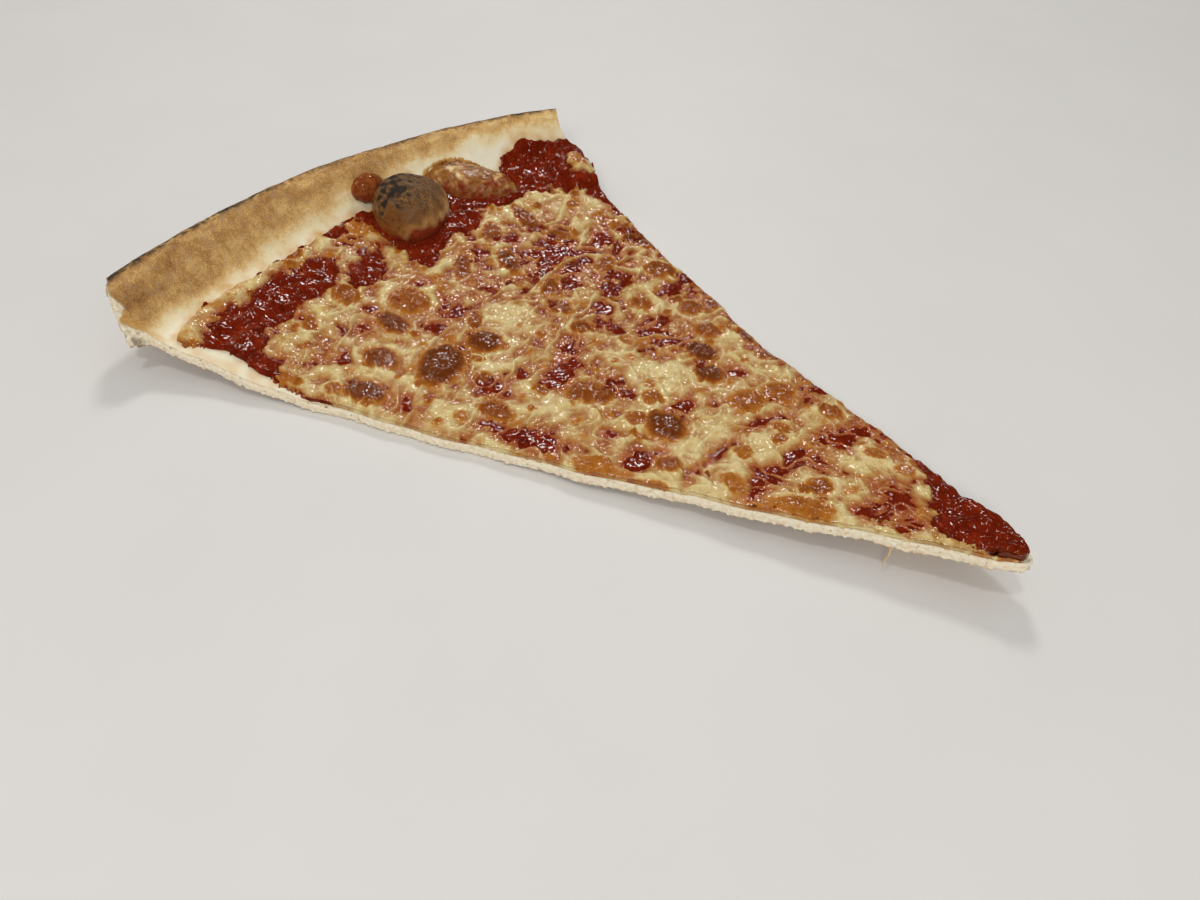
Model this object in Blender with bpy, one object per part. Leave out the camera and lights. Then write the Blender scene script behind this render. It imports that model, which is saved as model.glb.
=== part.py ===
"""A slice of thin cheese pizza, one eighth of a 20-inch pie, lying sagged as a soft slice does.

Three solids lie on each other: the dough with its raised rim and bubbles, the sauce and the cheese.
Plan places are measured from the slice's tip: the slice runs along -X to its crust. The cut with
negative Y is the front cut, the other one is the far cut. Heights are measured from the lowest
point of the underside. At the end the origin moves to the middle of the footprint.
"""

import math

import bmesh
import bpy
import numpy as np
from mathutils import Vector
from mathutils.geometry import delaunay_2d_cdt

MM = 0.001

# The two straight cuts: half width at the tip, and how much it grows for each metre towards the crust
FRONT_TIP_HALF = 0.3 * MM
FRONT_SLOPE = 0.383
FAR_TIP_HALF = 5.0 * MM
FAR_SLOPE = 0.361
# Where the far cut runs inside its line: distance from the tip, depth, width
FAR_DIPS = ((96 * MM, 2.4 * MM, 20 * MM), (222 * MM, 2.8 * MM, 6 * MM))

# The crust follows an arc; its crest is the highest line of the rim
CREST_CENTRE = (-30.9 * MM, -22.6 * MM)
CREST_RADIUS = 223.7 * MM
RIM_HALF_ANGLE = 0.8
RIM_OVERHANG = 4.0 * MM
RIM_FOOT = 16 * MM
RIM_HEIGHT = 10.8 * MM
RIM_OUTER_DROP = 7.5 * MM
RIM_CURL_FROM = 6 * MM
RIM_CURL = 4.0 * MM

# The sag: the underside is flat in the middle and lifts towards the tip and towards the crust
TIP_LIFT = 11 * MM
TIP_LIFT_FROM = 145 * MM
RIM_LIFT = 9.5 * MM
RIM_LIFT_FROM = 66 * MM
RIM_LIFT_SPAN = 58 * MM

# Layers
DOUGH_THICK = 3.4 * MM
GAP = 0.3 * MM
SAUCE_THICK = 0.6 * MM
SAUCE_MOUND = 0.9 * MM
MOUND_SHARE = 0.88
BARE_TIP_FROM = -14 * MM
BARE_TIP_FADE = 5 * MM
CHEESE_THICK = 1.2 * MM
CHEESE_INSET = 0.9 * MM
SAUCE_INSET = 0.2 * MM

# Bubbles in the dough that rise through the toppings: centre, half sizes along and across, turn, height
BUBBLES = (
    ((-228.5 * MM, 10.4 * MM), (12.8 * MM, 13.5 * MM), 0.0, 15.0 * MM),
    ((-228.5 * MM, 42 * MM), (8.5 * MM, 15.5 * MM), -0.3, 5.5 * MM),
)
BUBBLE_CLEARANCE = 1.2 * MM
BUBBLE_RINGS = (1.03, 0.95, 0.8, 0.58, 0.3)

# Lumps of sauce: one bulges past the far cut beside the crust, the other sits behind the big bubble
SAUCE_LUMPS = (
    ((-208.5 * MM, 73.5 * MM), (12.5 * MM, 9.0 * MM), 4.5 * MM),
    ((-243.5 * MM, 2.0 * MM), (4.0 * MM, 5.5 * MM), 3.5 * MM),
)

# The torn end of the crust at the front cut, from the cut to the outside of the rim
TORN_END = ((-232, -89.2), (-234.6, -94.6), (-237.2, -90.6), (-241.2, -92.6), (-244.6, -89.6))
BLUNT_TIP = ((-4.6, 7.6), (-2.4, 4.6), (-0.2, 2.2), (-0.6, 0.1))

# Where the sauce ends on the crust, and where the cheese does, from the front cut to the far cut
SAUCE_CRUST_EDGE = (
    (-228, -85), (-235, -71), (-237, -54), (-239.5, -36), (-240, -18), (-241.5, -7), (-246, -3),
    (-248, 3), (-246, 9), (-243.5, 14),
)
SAUCE_ROUND_BIG_BUBBLE = (170, 420)
SAUCE_ROUND_LONG_BUBBLE = (-45, 95)
SAUCE_FAR_EDGE = ((-227.5, 61.5), (-229, 65.5), (-225, 71.5), (-220.5, 78))
LUMP_EDGE = ((-217, 81.5), (-211, 83.8), (-204.5, 81.8), (-198, 75.2))
CHEESE_CRUST_EDGE = (
    (-223, -82), (-231.5, -71), (-233.5, -56), (-236.5, -38), (-237.5, -24), (-236.5, -13), (-232, -7.5),
    (-221, -8.5), (-211.5, 0), (-210.5, 13), (-209, 28), (-209.5, 42), (-212.5, 54), (-213, 61), (-205, 61.5),
    (-194, 63.5),
)
CHEESE_TIP_EDGE = ((-33, 14), (-35.5, 8), (-28, 4.5), (-24, 0), (-16, -2.5))

# Openings in the cheese where the sauce shows: centre, half sizes along and across, turn
CHEESE_HOLES = (
    ((-216, -62), (9.0, 17.0), 0.35),
    ((-224, -23), (6.5, 10.5), 0.20),
    ((-66, 2), (2.6, 15.0), 0.12),
    ((-97.5, -21), (3.8, 13.0), 0.14),
    ((-137, -13), (6.0, 6.5), 0.0),
    ((-163, 6), (4.5, 6.0), 0.4),
    ((-173, 34), (6.0, 9.0), -0.2),
)

# Brown blisters in the cheese: centre, half size, height
BLISTERS = (
    ((-173, -58), 6.5, 1.6), ((-165, -33), 8.0, 1.9), ((-165, -18), 5.5, 1.6), ((-192, -31), 6.0, 1.5),
    ((-182, -45), 5.5, 1.4), ((-197, -18), 7.5, 1.6), ((-237, -34), 4.5, 1.5), ((-111, 22.5), 5.0, 1.8),
    ((-103, 14), 4.5, 1.6), ((-112, -12), 5.0, 1.2), ((-97, 2), 5.0, 1.2), ((-140, -39), 5.5, 1.4),
    ((-126, -17), 5.5, 1.4), ((-196, 24), 6.0, 1.5), ((-170, 58), 6.5, 1.5), ((-148, 50), 5.0, 1.3),
    ((-116, 33), 5.0, 1.4), ((-53, -8), 4.0, 1.2), ((-190, 45), 6.0, 1.3), ((-82, 18), 4.5, 1.2),
    ((-150, 22), 5.5, 1.3), ((-185, 5), 6.0, 1.4), ((-212, -33), 6.0, 1.6), ((-152, -45), 5.0, 1.2),
)

# Spacing of the surface's points
CUT_STEP = 4.8 * MM
CUT_STEP_NEAR_RIM = 2.7 * MM
NEAR_RIM_X = -203 * MM
RIM_ROWS = (-3.2, -1.8, 0.4, 3.2, 6.4, 9.8, 12.6, 15.2, 18.5)
RIM_STEP = 4.6 * MM
DOUGH_STEP = 9.5 * MM
SAUCE_STEP = 6.0 * MM
CHEESE_STEP = 4.2 * MM
HOLE_STEP = 3.8 * MM
LOBE_DEPTH = 0.05

DOUGH_LOOK = ("baked dough", (0.62, 0.44, 0.22), 0.75)
SAUCE_LOOK = ("tomato sauce", (0.36, 0.03, 0.012), 0.30)
CHEESE_LOOK = ("melted cheese", (0.72, 0.46, 0.16), 0.28)


def crest_distance(x, y):
    """How far a plan point lies inside the rim's crest line; negative outside it."""
    return CREST_RADIUS - np.hypot(x - CREST_CENTRE[0], y - CREST_CENTRE[1])


def sag(x, y):
    """Height of the dough's underside, without the curl of its outer edge."""
    tip_share = np.clip(1 - np.hypot(x, y) / TIP_LIFT_FROM, 0, 1)
    rim_share = np.clip((RIM_LIFT_FROM - crest_distance(x, y)) / RIM_LIFT_SPAN, 0, None)
    return TIP_LIFT * tip_share**1.45 + RIM_LIFT * rim_share**1.5


def underside(x, y):
    curl = np.clip((RIM_CURL_FROM - crest_distance(x, y)) / (RIM_CURL_FROM + RIM_OVERHANG), 0, 1)
    return sag(x, y) + RIM_CURL * curl**2.2


def lobes(angle, centre):
    """How far an ellipse's edge swells and shrinks round its middle, as food is never regular."""
    return 1 + LOBE_DEPTH * np.sin(3 * angle + centre[0] / MM)


def in_ellipse(x, y, centre, half, turn):
    """Distance from a lobed ellipse's centre as a share of its own radius: 1 on its edge."""
    along = (x - centre[0]) * math.cos(turn) + (y - centre[1]) * math.sin(turn)
    across = (y - centre[1]) * math.cos(turn) - (x - centre[0]) * math.sin(turn)
    angle = np.arctan2(across / half[1], along / half[0])
    return np.hypot(along / half[0], across / half[1]) / lobes(angle, centre)


def dome(share):
    """A rounded dome: 1 in the middle, 0 at share 1 and beyond, with steep sides."""
    return np.clip(1 - share**2.4, 0, 1) ** 0.6


def dough_top(x, y):
    inside = crest_distance(x, y)
    rise = np.clip(1 - inside / RIM_FOOT, 0, 1)
    ramp = RIM_HEIGHT * (0.5 - 0.5 * np.cos(math.pi * rise))
    outer = np.clip(-inside / RIM_OVERHANG, 0, 1)
    fall = RIM_OUTER_DROP * (1 - np.sqrt(1 - outer**2))
    height = sag(x, y) + DOUGH_THICK + ramp - fall
    for centre, half, turn, tall in BUBBLES:
        height = height + tall * dome(in_ellipse(x, y, centre, half, turn))
    return height


def sauce_bottom(x, y):
    return dough_top(x, y) + GAP


def sauce_top(x, y):
    """The sauce stands higher where no cheese covers it."""
    mound = np.zeros_like(x)
    for centre, half, turn in CHEESE_HOLES:
        share = in_ellipse(x, y, scaled(centre), scaled(half), turn) / MOUND_SHARE
        mound = np.maximum(mound, np.clip(1 - share**2, 0, 1))
    near_tip = np.clip((x - BARE_TIP_FROM) / BARE_TIP_FADE, 0, 1)
    height = SAUCE_THICK + SAUCE_MOUND * np.maximum(np.sqrt(mound), near_tip)
    for centre, half, tall in SAUCE_LUMPS:
        height = height + tall * np.clip(1 - in_ellipse(x, y, centre, half, 0.0) ** 2, 0, 1) ** 1.2
    return sauce_bottom(x, y) + height


def cheese_bottom(x, y):
    return sauce_top(x, y) + GAP


def cheese_top(x, y):
    height = CHEESE_THICK + 0.35 * MM * np.sin(x / (4.1 * MM)) * np.sin(y / (5.3 * MM) + 0.6)
    for centre, half, tall in BLISTERS:
        share = np.hypot(x - centre[0] * MM, y - centre[1] * MM) / (half * MM)
        height = height + 0.7 * tall * MM * np.clip(1 - share**2, 0, 1)
    return cheese_bottom(x, y) + height


def scaled(values):
    return tuple(v * MM for v in values)


def front_cut(x):
    """Y of the front cut, with the small waves that a wheel leaves in soft dough."""
    wave = 0.35 * MM * np.sin(x / (7.3 * MM)) + 0.25 * MM * np.sin(x / (3.1 * MM) + 1)
    return -(FRONT_TIP_HALF - FRONT_SLOPE * x) + wave


def far_cut(x):
    wave = 0.4 * MM * np.sin(x / (6.7 * MM) + 2) + 0.3 * MM * np.sin(x / (2.9 * MM))
    dip = sum(depth * np.exp(-(((x + at) / width) ** 2)) for at, depth, width in FAR_DIPS)
    return FAR_TIP_HALF - FAR_SLOPE * x - dip + wave


def rim_row(inside, step):
    """Points along the crust at one distance inside its crest, from the front cut to the far cut."""
    radius = CREST_RADIUS - inside
    count = int(2 * RIM_HALF_ANGLE * CREST_RADIUS / step)
    angle = np.linspace(-RIM_HALF_ANGLE, RIM_HALF_ANGLE, count)
    x = CREST_CENTRE[0] - radius * np.cos(angle)
    y = CREST_CENTRE[1] + radius * np.sin(angle)
    return np.column_stack([x, y])


def along_cut(cut, start, end, inset):
    """Points on a cut between two X values, moved towards the slice's middle by inset."""
    towards_rim = start > end
    tip_end, rim_end = max(start, end), min(start, end)
    split = max(NEAR_RIM_X, rim_end)
    coarse = np.linspace(tip_end, split, round((tip_end - split) / CUT_STEP) + 1)
    fine = np.linspace(split, rim_end, round((split - rim_end) / CUT_STEP_NEAR_RIM) + 1)
    x = np.append(coarse[:-1], fine)
    x = x if towards_rim else x[::-1]
    y = cut(x)
    return np.column_stack([x, y - np.sign(y) * inset])


def smooth_line(points, per_span=3):
    """A Catmull-Rom curve through plan points given in millimetres."""
    p = np.array(points, float) * MM
    p = np.vstack([2 * p[0] - p[1], p, 2 * p[-1] - p[-2]])
    line = []
    for i in range(1, len(p) - 2):
        for k in range(per_span):
            t = k / per_span
            a = 2 * p[i]
            b = p[i + 1] - p[i - 1]
            c = 2 * p[i - 1] - 5 * p[i] + 4 * p[i + 1] - p[i + 2]
            d = 3 * p[i] - p[i - 1] - 3 * p[i + 1] + p[i + 2]
            line.append(0.5 * (a + b * t + c * t**2 + d * t**3))
    line.append(p[-2])
    return np.array(line)


def ellipse_loop(centre, half, turn, step):
    """A lobed ellipse's edge as plan points."""
    count = max(10, round(math.pi * (half[0] + half[1]) / step))
    return ellipse_arc(centre, half, turn, np.arange(count) * 2 * math.pi / count)


def ellipse_arc(centre, half, turn, a):
    """The points of a lobed ellipse's edge at the angles a."""
    along = half[0] * lobes(a, centre) * np.cos(a)
    across = half[1] * lobes(a, centre) * np.sin(a)
    x = centre[0] + along * math.cos(turn) - across * math.sin(turn)
    y = centre[1] + along * math.sin(turn) + across * math.cos(turn)
    return np.column_stack([x, y])


def round_bubble(bubble, degrees):
    """The part of a layer's edge that goes round a bubble, clear of its side."""
    centre, half, turn, _ = bubble
    wide = (half[0] + BUBBLE_CLEARANCE, half[1] + BUBBLE_CLEARANCE)
    start, end = np.radians(degrees)
    count = round((end - start) * sum(wide) / 2 / HOLE_STEP)
    return ellipse_arc(centre, wide, turn, np.linspace(start, end, count))


def bubble_points(centre, half, turn):
    """Rings of points over a bubble, closer where its side is steep."""
    rings = [np.array([centre])]
    count = round(math.pi * (half[0] + half[1]) / HOLE_STEP)
    for share in BUBBLE_RINGS:
        a = np.arange(count if share > 0.5 else count // 2) * 2 * math.pi
        a = a / len(a)
        rings.append(ellipse_arc(centre, (half[0] * share, half[1] * share), turn, a))
    return np.vstack(rings)


def rim_features():
    """The rows of points that every layer shares over the rim's slope, without those on a bubble."""
    rows = []
    for inside in RIM_ROWS:
        row = rim_row(inside * MM, RIM_STEP)
        for centre, half, turn, _ in BUBBLES:
            row = row[in_ellipse(row[:, 0], row[:, 1], centre, half, turn) > 1.08]
        rows.append((row, 1.3 * MM))
    return rows


def inside_loop(points, loop):
    """Which points lie inside a closed plan loop."""
    x, y = points[:, :1], points[:, 1:]
    x0, y0 = loop.T
    x1, y1 = np.roll(loop, -1, axis=0).T
    crosses = (y0 > y) != (y1 > y)
    rise = np.where(y1 == y0, 1, y1 - y0)
    left = x < x0 + (y - y0) * (x1 - x0) / rise
    return (crosses & left).sum(axis=1) % 2 == 1


def edge_distance(points, loop):
    """Distance of each point from a closed loop."""
    a = loop
    ab = np.roll(loop, -1, axis=0) - a
    ap = points[:, None, :] - a[None]
    t = np.clip((ap * ab).sum(axis=2) / (ab**2).sum(axis=1), 0, 1)
    return np.hypot(*(ap - t[..., None] * ab).transpose(2, 0, 1)).min(axis=1)


def hex_points(loop, step):
    """Evenly spaced points in the box of a loop, every second row shifted by half a step."""
    low, high = loop.min(axis=0), loop.max(axis=0)
    rows = []
    for i, y in enumerate(np.arange(low[1], high[1], step * 0.866)):
        x = np.arange(low[0] + (i % 2) * step / 2, high[0], step)
        rows.append(np.column_stack([x, np.full(len(x), y)]))
    return np.vstack(rows)


def filled(loop, holes, features, step):
    """The points inside a loop and outside its holes: those of the features first, then an even fill."""
    kept = np.zeros((0, 2))
    for points, apart in features + [(hex_points(loop, step), 0.6 * step)]:
        points = points[inside_loop(points, loop) & (edge_distance(points, loop) > 0.5 * apart)]
        for hole in holes:
            outside = ~inside_loop(points, hole) & (edge_distance(points, hole) > 0.5 * apart)
            points = points[outside]
        if len(kept):
            near = np.hypot(*(points[:, None] - kept[None]).transpose(2, 0, 1)).min(axis=1)
            points = points[near > apart]
        kept = np.vstack([kept, points])
    return kept


def layer(name, loop, holes, features, step, bottom, top, look):
    """A closed solid over a plan outline: its triangles are extruded, then both skins get their heights."""
    loops = [loop] + holes
    points = np.vstack(loops + [filled(loop, holes, features, step)])
    edges = []
    start = 0
    for one in loops:
        edges += [(start + i, start + (i + 1) % len(one)) for i in range(len(one))]
        start += len(one)
    plan = [Vector(p) for p in points / MM]
    made = delaunay_2d_cdt(plan, edges, [], 0, 1e-4)
    corners = np.array([v[:] for v in made[0]]) * MM
    middles = corners[np.array(made[2])].mean(axis=1)
    keep = inside_loop(middles, loop)
    for hole in holes:
        keep &= ~inside_loop(middles, hole)

    bm = bmesh.new()
    verts = [bm.verts.new((x, y, 0)) for x, y in corners]
    for face, wanted in zip(made[2], keep):
        if wanted:
            bm.faces.new([verts[i] for i in face])
    bmesh.ops.delete(bm, geom=[v for v in bm.verts if not v.link_faces], context="VERTS")
    bmesh.ops.recalc_face_normals(bm, faces=bm.faces[:])
    if sum(face.normal.z for face in bm.faces) > 0:
        bmesh.ops.reverse_faces(bm, faces=bm.faces[:])
    low_verts = bm.verts[:]
    made = bmesh.ops.extrude_face_region(bm, geom=bm.faces[:])
    high_verts = [g for g in made["geom"] if isinstance(g, bmesh.types.BMVert)]
    for skin, height in ((low_verts, bottom), (high_verts, top)):
        xy = np.array([v.co[:2] for v in skin])
        for vert, z in zip(skin, height(xy[:, 0], xy[:, 1])):
            vert.co.z = z
    bmesh.ops.triangulate(bm, faces=bm.faces[:])
    bmesh.ops.recalc_face_normals(bm, faces=bm.faces[:])

    mesh = bpy.data.meshes.new(name)
    bm.to_mesh(mesh)
    bm.free()
    obj = bpy.data.objects.new(name, mesh)
    bpy.context.scene.collection.objects.link(obj)
    mesh.materials.append(finish(*look))
    mesh.shade_smooth()
    mesh.set_sharp_from_angle(angle=math.radians(40))
    return obj


def finish(name, colour, roughness):
    material = bpy.data.materials.new(name)
    material.use_nodes = True
    shader = material.node_tree.nodes["Principled BSDF"]
    shader.inputs["Base Color"].default_value = (*colour, 1)
    shader.inputs["Roughness"].default_value = roughness
    shader.inputs["Metallic"].default_value = 0
    return material


def dough():
    """The base, its raised rim and its bubbles, in one piece as it is baked."""
    torn = np.array(TORN_END) * MM
    tip = np.array(BLUNT_TIP) * MM
    outer = rim_row(-RIM_OVERHANG, RIM_STEP)
    outer = outer[(outer[:, 1] > torn[-1, 1] + 2.5 * MM) & (outer[:, 1] < far_cut(outer[:, 0]))]
    rim_end = outer[-1, 0]
    front = along_cut(front_cut, tip[-1, 0] - CUT_STEP, torn[0, 0] + CUT_STEP, 0)
    far = along_cut(far_cut, rim_end + 2 * MM, tip[0, 0] - CUT_STEP, 0)
    loop = np.vstack([front, torn, outer, far, tip])
    features = [(bubble_points(*bubble[:3]), 1.2 * MM) for bubble in BUBBLES]
    features += rim_features()
    return layer("dough", loop, [], features, DOUGH_STEP, underside, dough_top, DOUGH_LOOK)


def sauce():
    """Tomato sauce over the dough from the tip to the foot of the rim, and round the bubbles."""
    tip = np.array(BLUNT_TIP) * MM * (0.97, 0.9) - (0.8 * MM, 0)
    crust = np.vstack([
        smooth_line(SAUCE_CRUST_EDGE),
        round_bubble(BUBBLES[0], SAUCE_ROUND_BIG_BUBBLE),
        round_bubble(BUBBLES[1], SAUCE_ROUND_LONG_BUBBLE),
        smooth_line(SAUCE_FAR_EDGE),
    ])
    lump = smooth_line(LUMP_EDGE)
    front = along_cut(front_cut, tip[-1, 0] - CUT_STEP, crust[0, 0] + CUT_STEP, SAUCE_INSET)
    far = along_cut(far_cut, lump[-1, 0] + CUT_STEP, tip[0, 0] - CUT_STEP, SAUCE_INSET)
    loop = np.vstack([front, crust, lump, far, tip])
    features = rim_features()
    for centre, half, turn in CHEESE_HOLES:
        for share in (1.0, 0.75):
            ring = ellipse_loop(scaled(centre), scaled((half[0] * share, half[1] * share)), turn, HOLE_STEP)
            features.append((ring, 1.2 * MM))
    for centre, half, _ in SAUCE_LUMPS:
        features.append((bubble_points(centre, half, 0.0), 1.2 * MM))
    return layer("sauce", loop, [], features, SAUCE_STEP, sauce_bottom, sauce_top, SAUCE_LOOK)


def cheese():
    """Melted cheese from near the tip to the crust, with openings where the sauce shows."""
    crust = smooth_line(CHEESE_CRUST_EDGE)
    tip = smooth_line(CHEESE_TIP_EDGE)
    front = along_cut(front_cut, tip[-1, 0] - CUT_STEP, crust[0, 0] + CUT_STEP, CHEESE_INSET)
    far = along_cut(far_cut, crust[-1, 0] + 2 * MM, tip[0, 0] - CUT_STEP, CHEESE_INSET)
    loop = np.vstack([front, crust, far, tip])
    holes = []
    for centre, half, turn in CHEESE_HOLES:
        wide = scaled((half[0] + 0.8, half[1] + 0.8))
        holes.append(ellipse_loop(scaled(centre), wide, turn, HOLE_STEP))
    features = rim_features()
    for centre, half, _ in BLISTERS:
        rings = [np.array([scaled(centre)])]
        rings.append(ellipse_loop(scaled(centre), scaled((0.55 * half, 0.55 * half)), 0, HOLE_STEP))
        rings.append(ellipse_loop(scaled(centre), scaled((half, half)), 0, HOLE_STEP))
        features.append((np.vstack(rings), 1.6 * MM))
    return layer("cheese", loop, holes, features, CHEESE_STEP, cheese_bottom, cheese_top, CHEESE_LOOK)


def centre_on_footprint(objects):
    """Moves every mesh so that the origin is the middle of the slice's box, on the surface it lies on."""
    points = np.vstack([[v.co[:] for v in obj.data.vertices] for obj in objects])
    low, high = points.min(axis=0), points.max(axis=0)
    shift = Vector(((low[0] + high[0]) / 2, (low[1] + high[1]) / 2, low[2]))
    for obj in objects:
        for vert in obj.data.vertices:
            vert.co -= shift
    print("origin is at", [round(v / MM, 3) for v in shift], "mm from the tip")


def main():
    for obj in list(bpy.data.objects):
        bpy.data.objects.remove(obj, do_unlink=True)
    centre_on_footprint([dough(), sauce(), cheese()])


main()
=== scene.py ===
"""The looks of a slice of thin cheese pizza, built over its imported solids.

Plan places are millimetres from the slice's tip: the crust lies towards -X, the front cut at
negative Y and the far cut at positive Y. Heights are millimetres above the surface it lies on.
Every mesh moves to the row frame, in metres, when it is made.
"""

import math

import bmesh
import bpy
import numpy as np
from mathutils import Matrix, Vector
from mathutils.geometry import delaunay_2d_cdt
from mathutils.kdtree import KDTree


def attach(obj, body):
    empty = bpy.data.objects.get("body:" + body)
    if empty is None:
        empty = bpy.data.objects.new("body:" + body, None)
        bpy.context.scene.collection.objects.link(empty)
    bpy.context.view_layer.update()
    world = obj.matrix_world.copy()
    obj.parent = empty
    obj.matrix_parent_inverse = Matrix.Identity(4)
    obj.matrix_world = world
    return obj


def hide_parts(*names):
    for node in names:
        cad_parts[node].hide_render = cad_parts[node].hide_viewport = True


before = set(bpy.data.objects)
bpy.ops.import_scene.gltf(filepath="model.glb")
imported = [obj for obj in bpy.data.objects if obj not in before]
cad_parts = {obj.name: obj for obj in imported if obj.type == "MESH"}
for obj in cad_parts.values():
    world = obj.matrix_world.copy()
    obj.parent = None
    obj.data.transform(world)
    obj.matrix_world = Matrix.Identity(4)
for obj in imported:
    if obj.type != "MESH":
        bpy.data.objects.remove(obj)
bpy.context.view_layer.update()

MM = 0.001
TIP_PLACE = (129.4, 3.45)

# The two straight cuts: half width at the tip, and how much it grows for each millimetre of length
FRONT_TIP_HALF = 0.3
FRONT_SLOPE = 0.383
FAR_TIP_HALF = 5.0
FAR_SLOPE = 0.361

# Dips in the far cut: distance from the tip, depth, width
FAR_DIPS = ((96, 2.4, 20), (222, 2.8, 6))

# The crust's arc and the section of its rim
CREST_CENTRE = (-30.9, -22.6)
CREST_RADIUS = 223.7
RIM_HALF_ANGLE = 0.8
RIM_OVERHANG = 4.0
RIM_FOOT = 16.0
RIM_HEIGHT = 10.8
RIM_OUTER_DROP = 7.5
RIM_CURL_FROM = 6.0
RIM_CURL = 4.0

# The sag: flat in the middle, lifted towards the tip and towards the crust
TIP_LIFT = 11.0
TIP_LIFT_FROM = 145.0
RIM_LIFT = 9.5
RIM_LIFT_FROM = 66.0
RIM_LIFT_SPAN = 58.0
DOUGH_THICK = 3.4

TORN_END = ((-232, -89.2), (-234.6, -94.6), (-237.2, -90.6), (-241.2, -92.6), (-244.6, -89.6))
BLUNT_TIP = ((-4.6, 7.6), (-2.4, 4.6), (-0.2, 2.2), (-0.6, 0.1))

# Bubbles: centre, half sizes at the base, turn, height, how far round from the top the skin goes
BIG_BUBBLE = ((-228.5, 10.4), (11.9, 12.6), 0.0, 15.2, math.radians(112))
LONG_BUBBLE = ((-227.0, 39.8), (8.2, 17.0), -0.72, 5.8, math.radians(82))
BUBBLES = (BIG_BUBBLE, LONG_BUBBLE)

# Layers
SAUCE_THICK = 0.75
SAUCE_OPEN_EXTRA = 0.75
CHEESE_SEAT = 0.55
CHEESE_THICK = 1.5
SAUCE_INSET = 0.8
CHEESE_INSET = 0.35
BELOW = 0.7

# Y and X of the line where the sauce ends on the crust, and of the one where the cheese ends
SAUCE_EDGE_Y = (-90, -85, -71, -54, -36, -18, -9, -4, 0, 3, 9, 14, 22, 26, 31, 50, 57, 61, 65, 71, 78, 86)
SAUCE_EDGE_X = (
    -222, -226, -233, -235.5, -238, -239.5, -240, -239.5, -239, -239, -240, -241, -240, -236, -224,
    -224, -229, -228.5, -229, -225.5, -221, -216,
)
CHEESE_EDGE_Y = (
    -90, -82, -71, -56, -42, -34, -24, -19, -14, -10, -5, -3, 2, 8, 18, 27, 31, 37, 42, 52, 61, 66, 72, 86,
)
CHEESE_EDGE_X = (
    -222, -228, -234, -236.5, -239.5, -242, -240.5, -239, -240, -243, -243, -211, -209, -212, -214,
    -218, -219, -216, -212, -212, -202, -201, -197, -194,
)

# The pale strip along the front cut near the crust where the dough is bare: X, and width
BARE_STRIP_X = (-236, -226, -215, -205, -196, -186, -176)
BARE_STRIP_WIDTH = (0.5, 3.0, 7.0, 5.5, 3.5, 1.2, 0.0)

# Patches: X, Y, half length, half width, direction of the length in degrees, strength.
# The cheese is open, thin, thick and pale, or toasted there; the island lies on the lump of sauce.
ISLAND = (-207, 76, 5.5, 4.5, 0, 1.2)
OPEN_PATCHES = (
    (-217, -70, 12, 7, -25, 1.5), (-223, -52, 14, 5, -72, 1.5), (-224.5, -35, 9, 4.2, -65, 1.3),
    (-217, -20, 7, 4, -60, 1), (-206, -73, 7, 5, 20, 1.3), (-238.5, -15.5, 3.4, 2.6, -60, 1.4),
    (-213, 1, 6, 4, -20, 0.8), (-217, 24, 7, 5, -60, 0.8), (-218, 40, 9, 3, 60, 0.8),
    (-217, 66, 12, 6, 30, 0.55), (-200, 75, 9, 6, -10, 0.55),
)
THIN_PATCHES = (
    (-213, -49, 5, 2.2, 20, 0.9), (-197, -36, 8, 3.4, -60, 0.7), (-183, -23, 7, 4, -10, 0.9),
    (-150, -31, 10, 3.2, 8, 1), (-137, -14, 6.4, 4.4, -40, 1), (-130, -42, 7, 4.2, 20, 0.9),
    (-191, -52.5, 2.6, 2.2, 0, 1), (-183, 34, 11, 5.4, -65, 0.85), (-172, 30, 11, 5, -65, 0.8),
    (-164, 47, 10, 3.8, -75, 0.85), (-187, -11, 9, 3.6, -30, 0.75), (-148, 20, 4.6, 3, -50, 1),
    (-143, -2, 7, 3, -60, 0.9), (-127, 46, 5, 3.8, 0, 0.7), (-121, 18, 9, 5, 80, 0.7),
    (-97, 19.5, 4.6, 3, -40, 0.9), (-101, -3, 5, 2.6, 70, 0.95), (-96, -30, 10, 4.4, 65, 1),
    (-80, 20, 9, 4.4, 60, 0.8), (-80.5, -16, 12, 2, 88, 0.85), (-78, 7, 9, 2, 60, 0.8),
    (-64.5, -10, 15, 3.4, 82, 1), (-58, 14, 11, 4.4, 60, 1), (-57, 2, 4.6, 3.4, 0, 0.6),
    (-119, -40, 8, 4.8, 20, 0.85), (-36, 1, 8, 4.4, -15, 0.75), (-38, -8, 4.2, 3.4, 0, 0.8),
    (-29, -6, 4, 3.6, 0, 0.8), (-100, 36, 6, 3, -30, 0.6), (-205, 12, 6, 3.6, 60, 0.6),
    (-200, -8, 7, 3, 60, 0.6), (-63, -22, 4, 3.8, 0, 0.9), (-157, 30, 7, 3.4, -60, 0.6),
    (-111, -26, 5, 3, 30, 0.5), (-146.5, -21.5, 1.8, 2.6, 0, 1), (-153, -57, 8, 3.8, 20, 0.55),
    (-164, -54, 8, 5, 10, 0.7), (-92, 36, 5, 3, 0, 0.5), (-176, 48, 9, 3.4, -70, 0.7),
    (-155, 14, 7, 3.4, -60, 0.6), (-192, 2, 6, 3.4, 40, 0.6), (-133, 24, 7, 3.4, -60, 0.6),
    (-124, -10, 5, 4, 0, 0.8), (-46, 16, 7, 3, -25, 0.7), (-192, 58, 8, 3, -30, 0.5),
)
THIN_COVER = 0.10
BLISTER_SPREAD = 1.12
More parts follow.
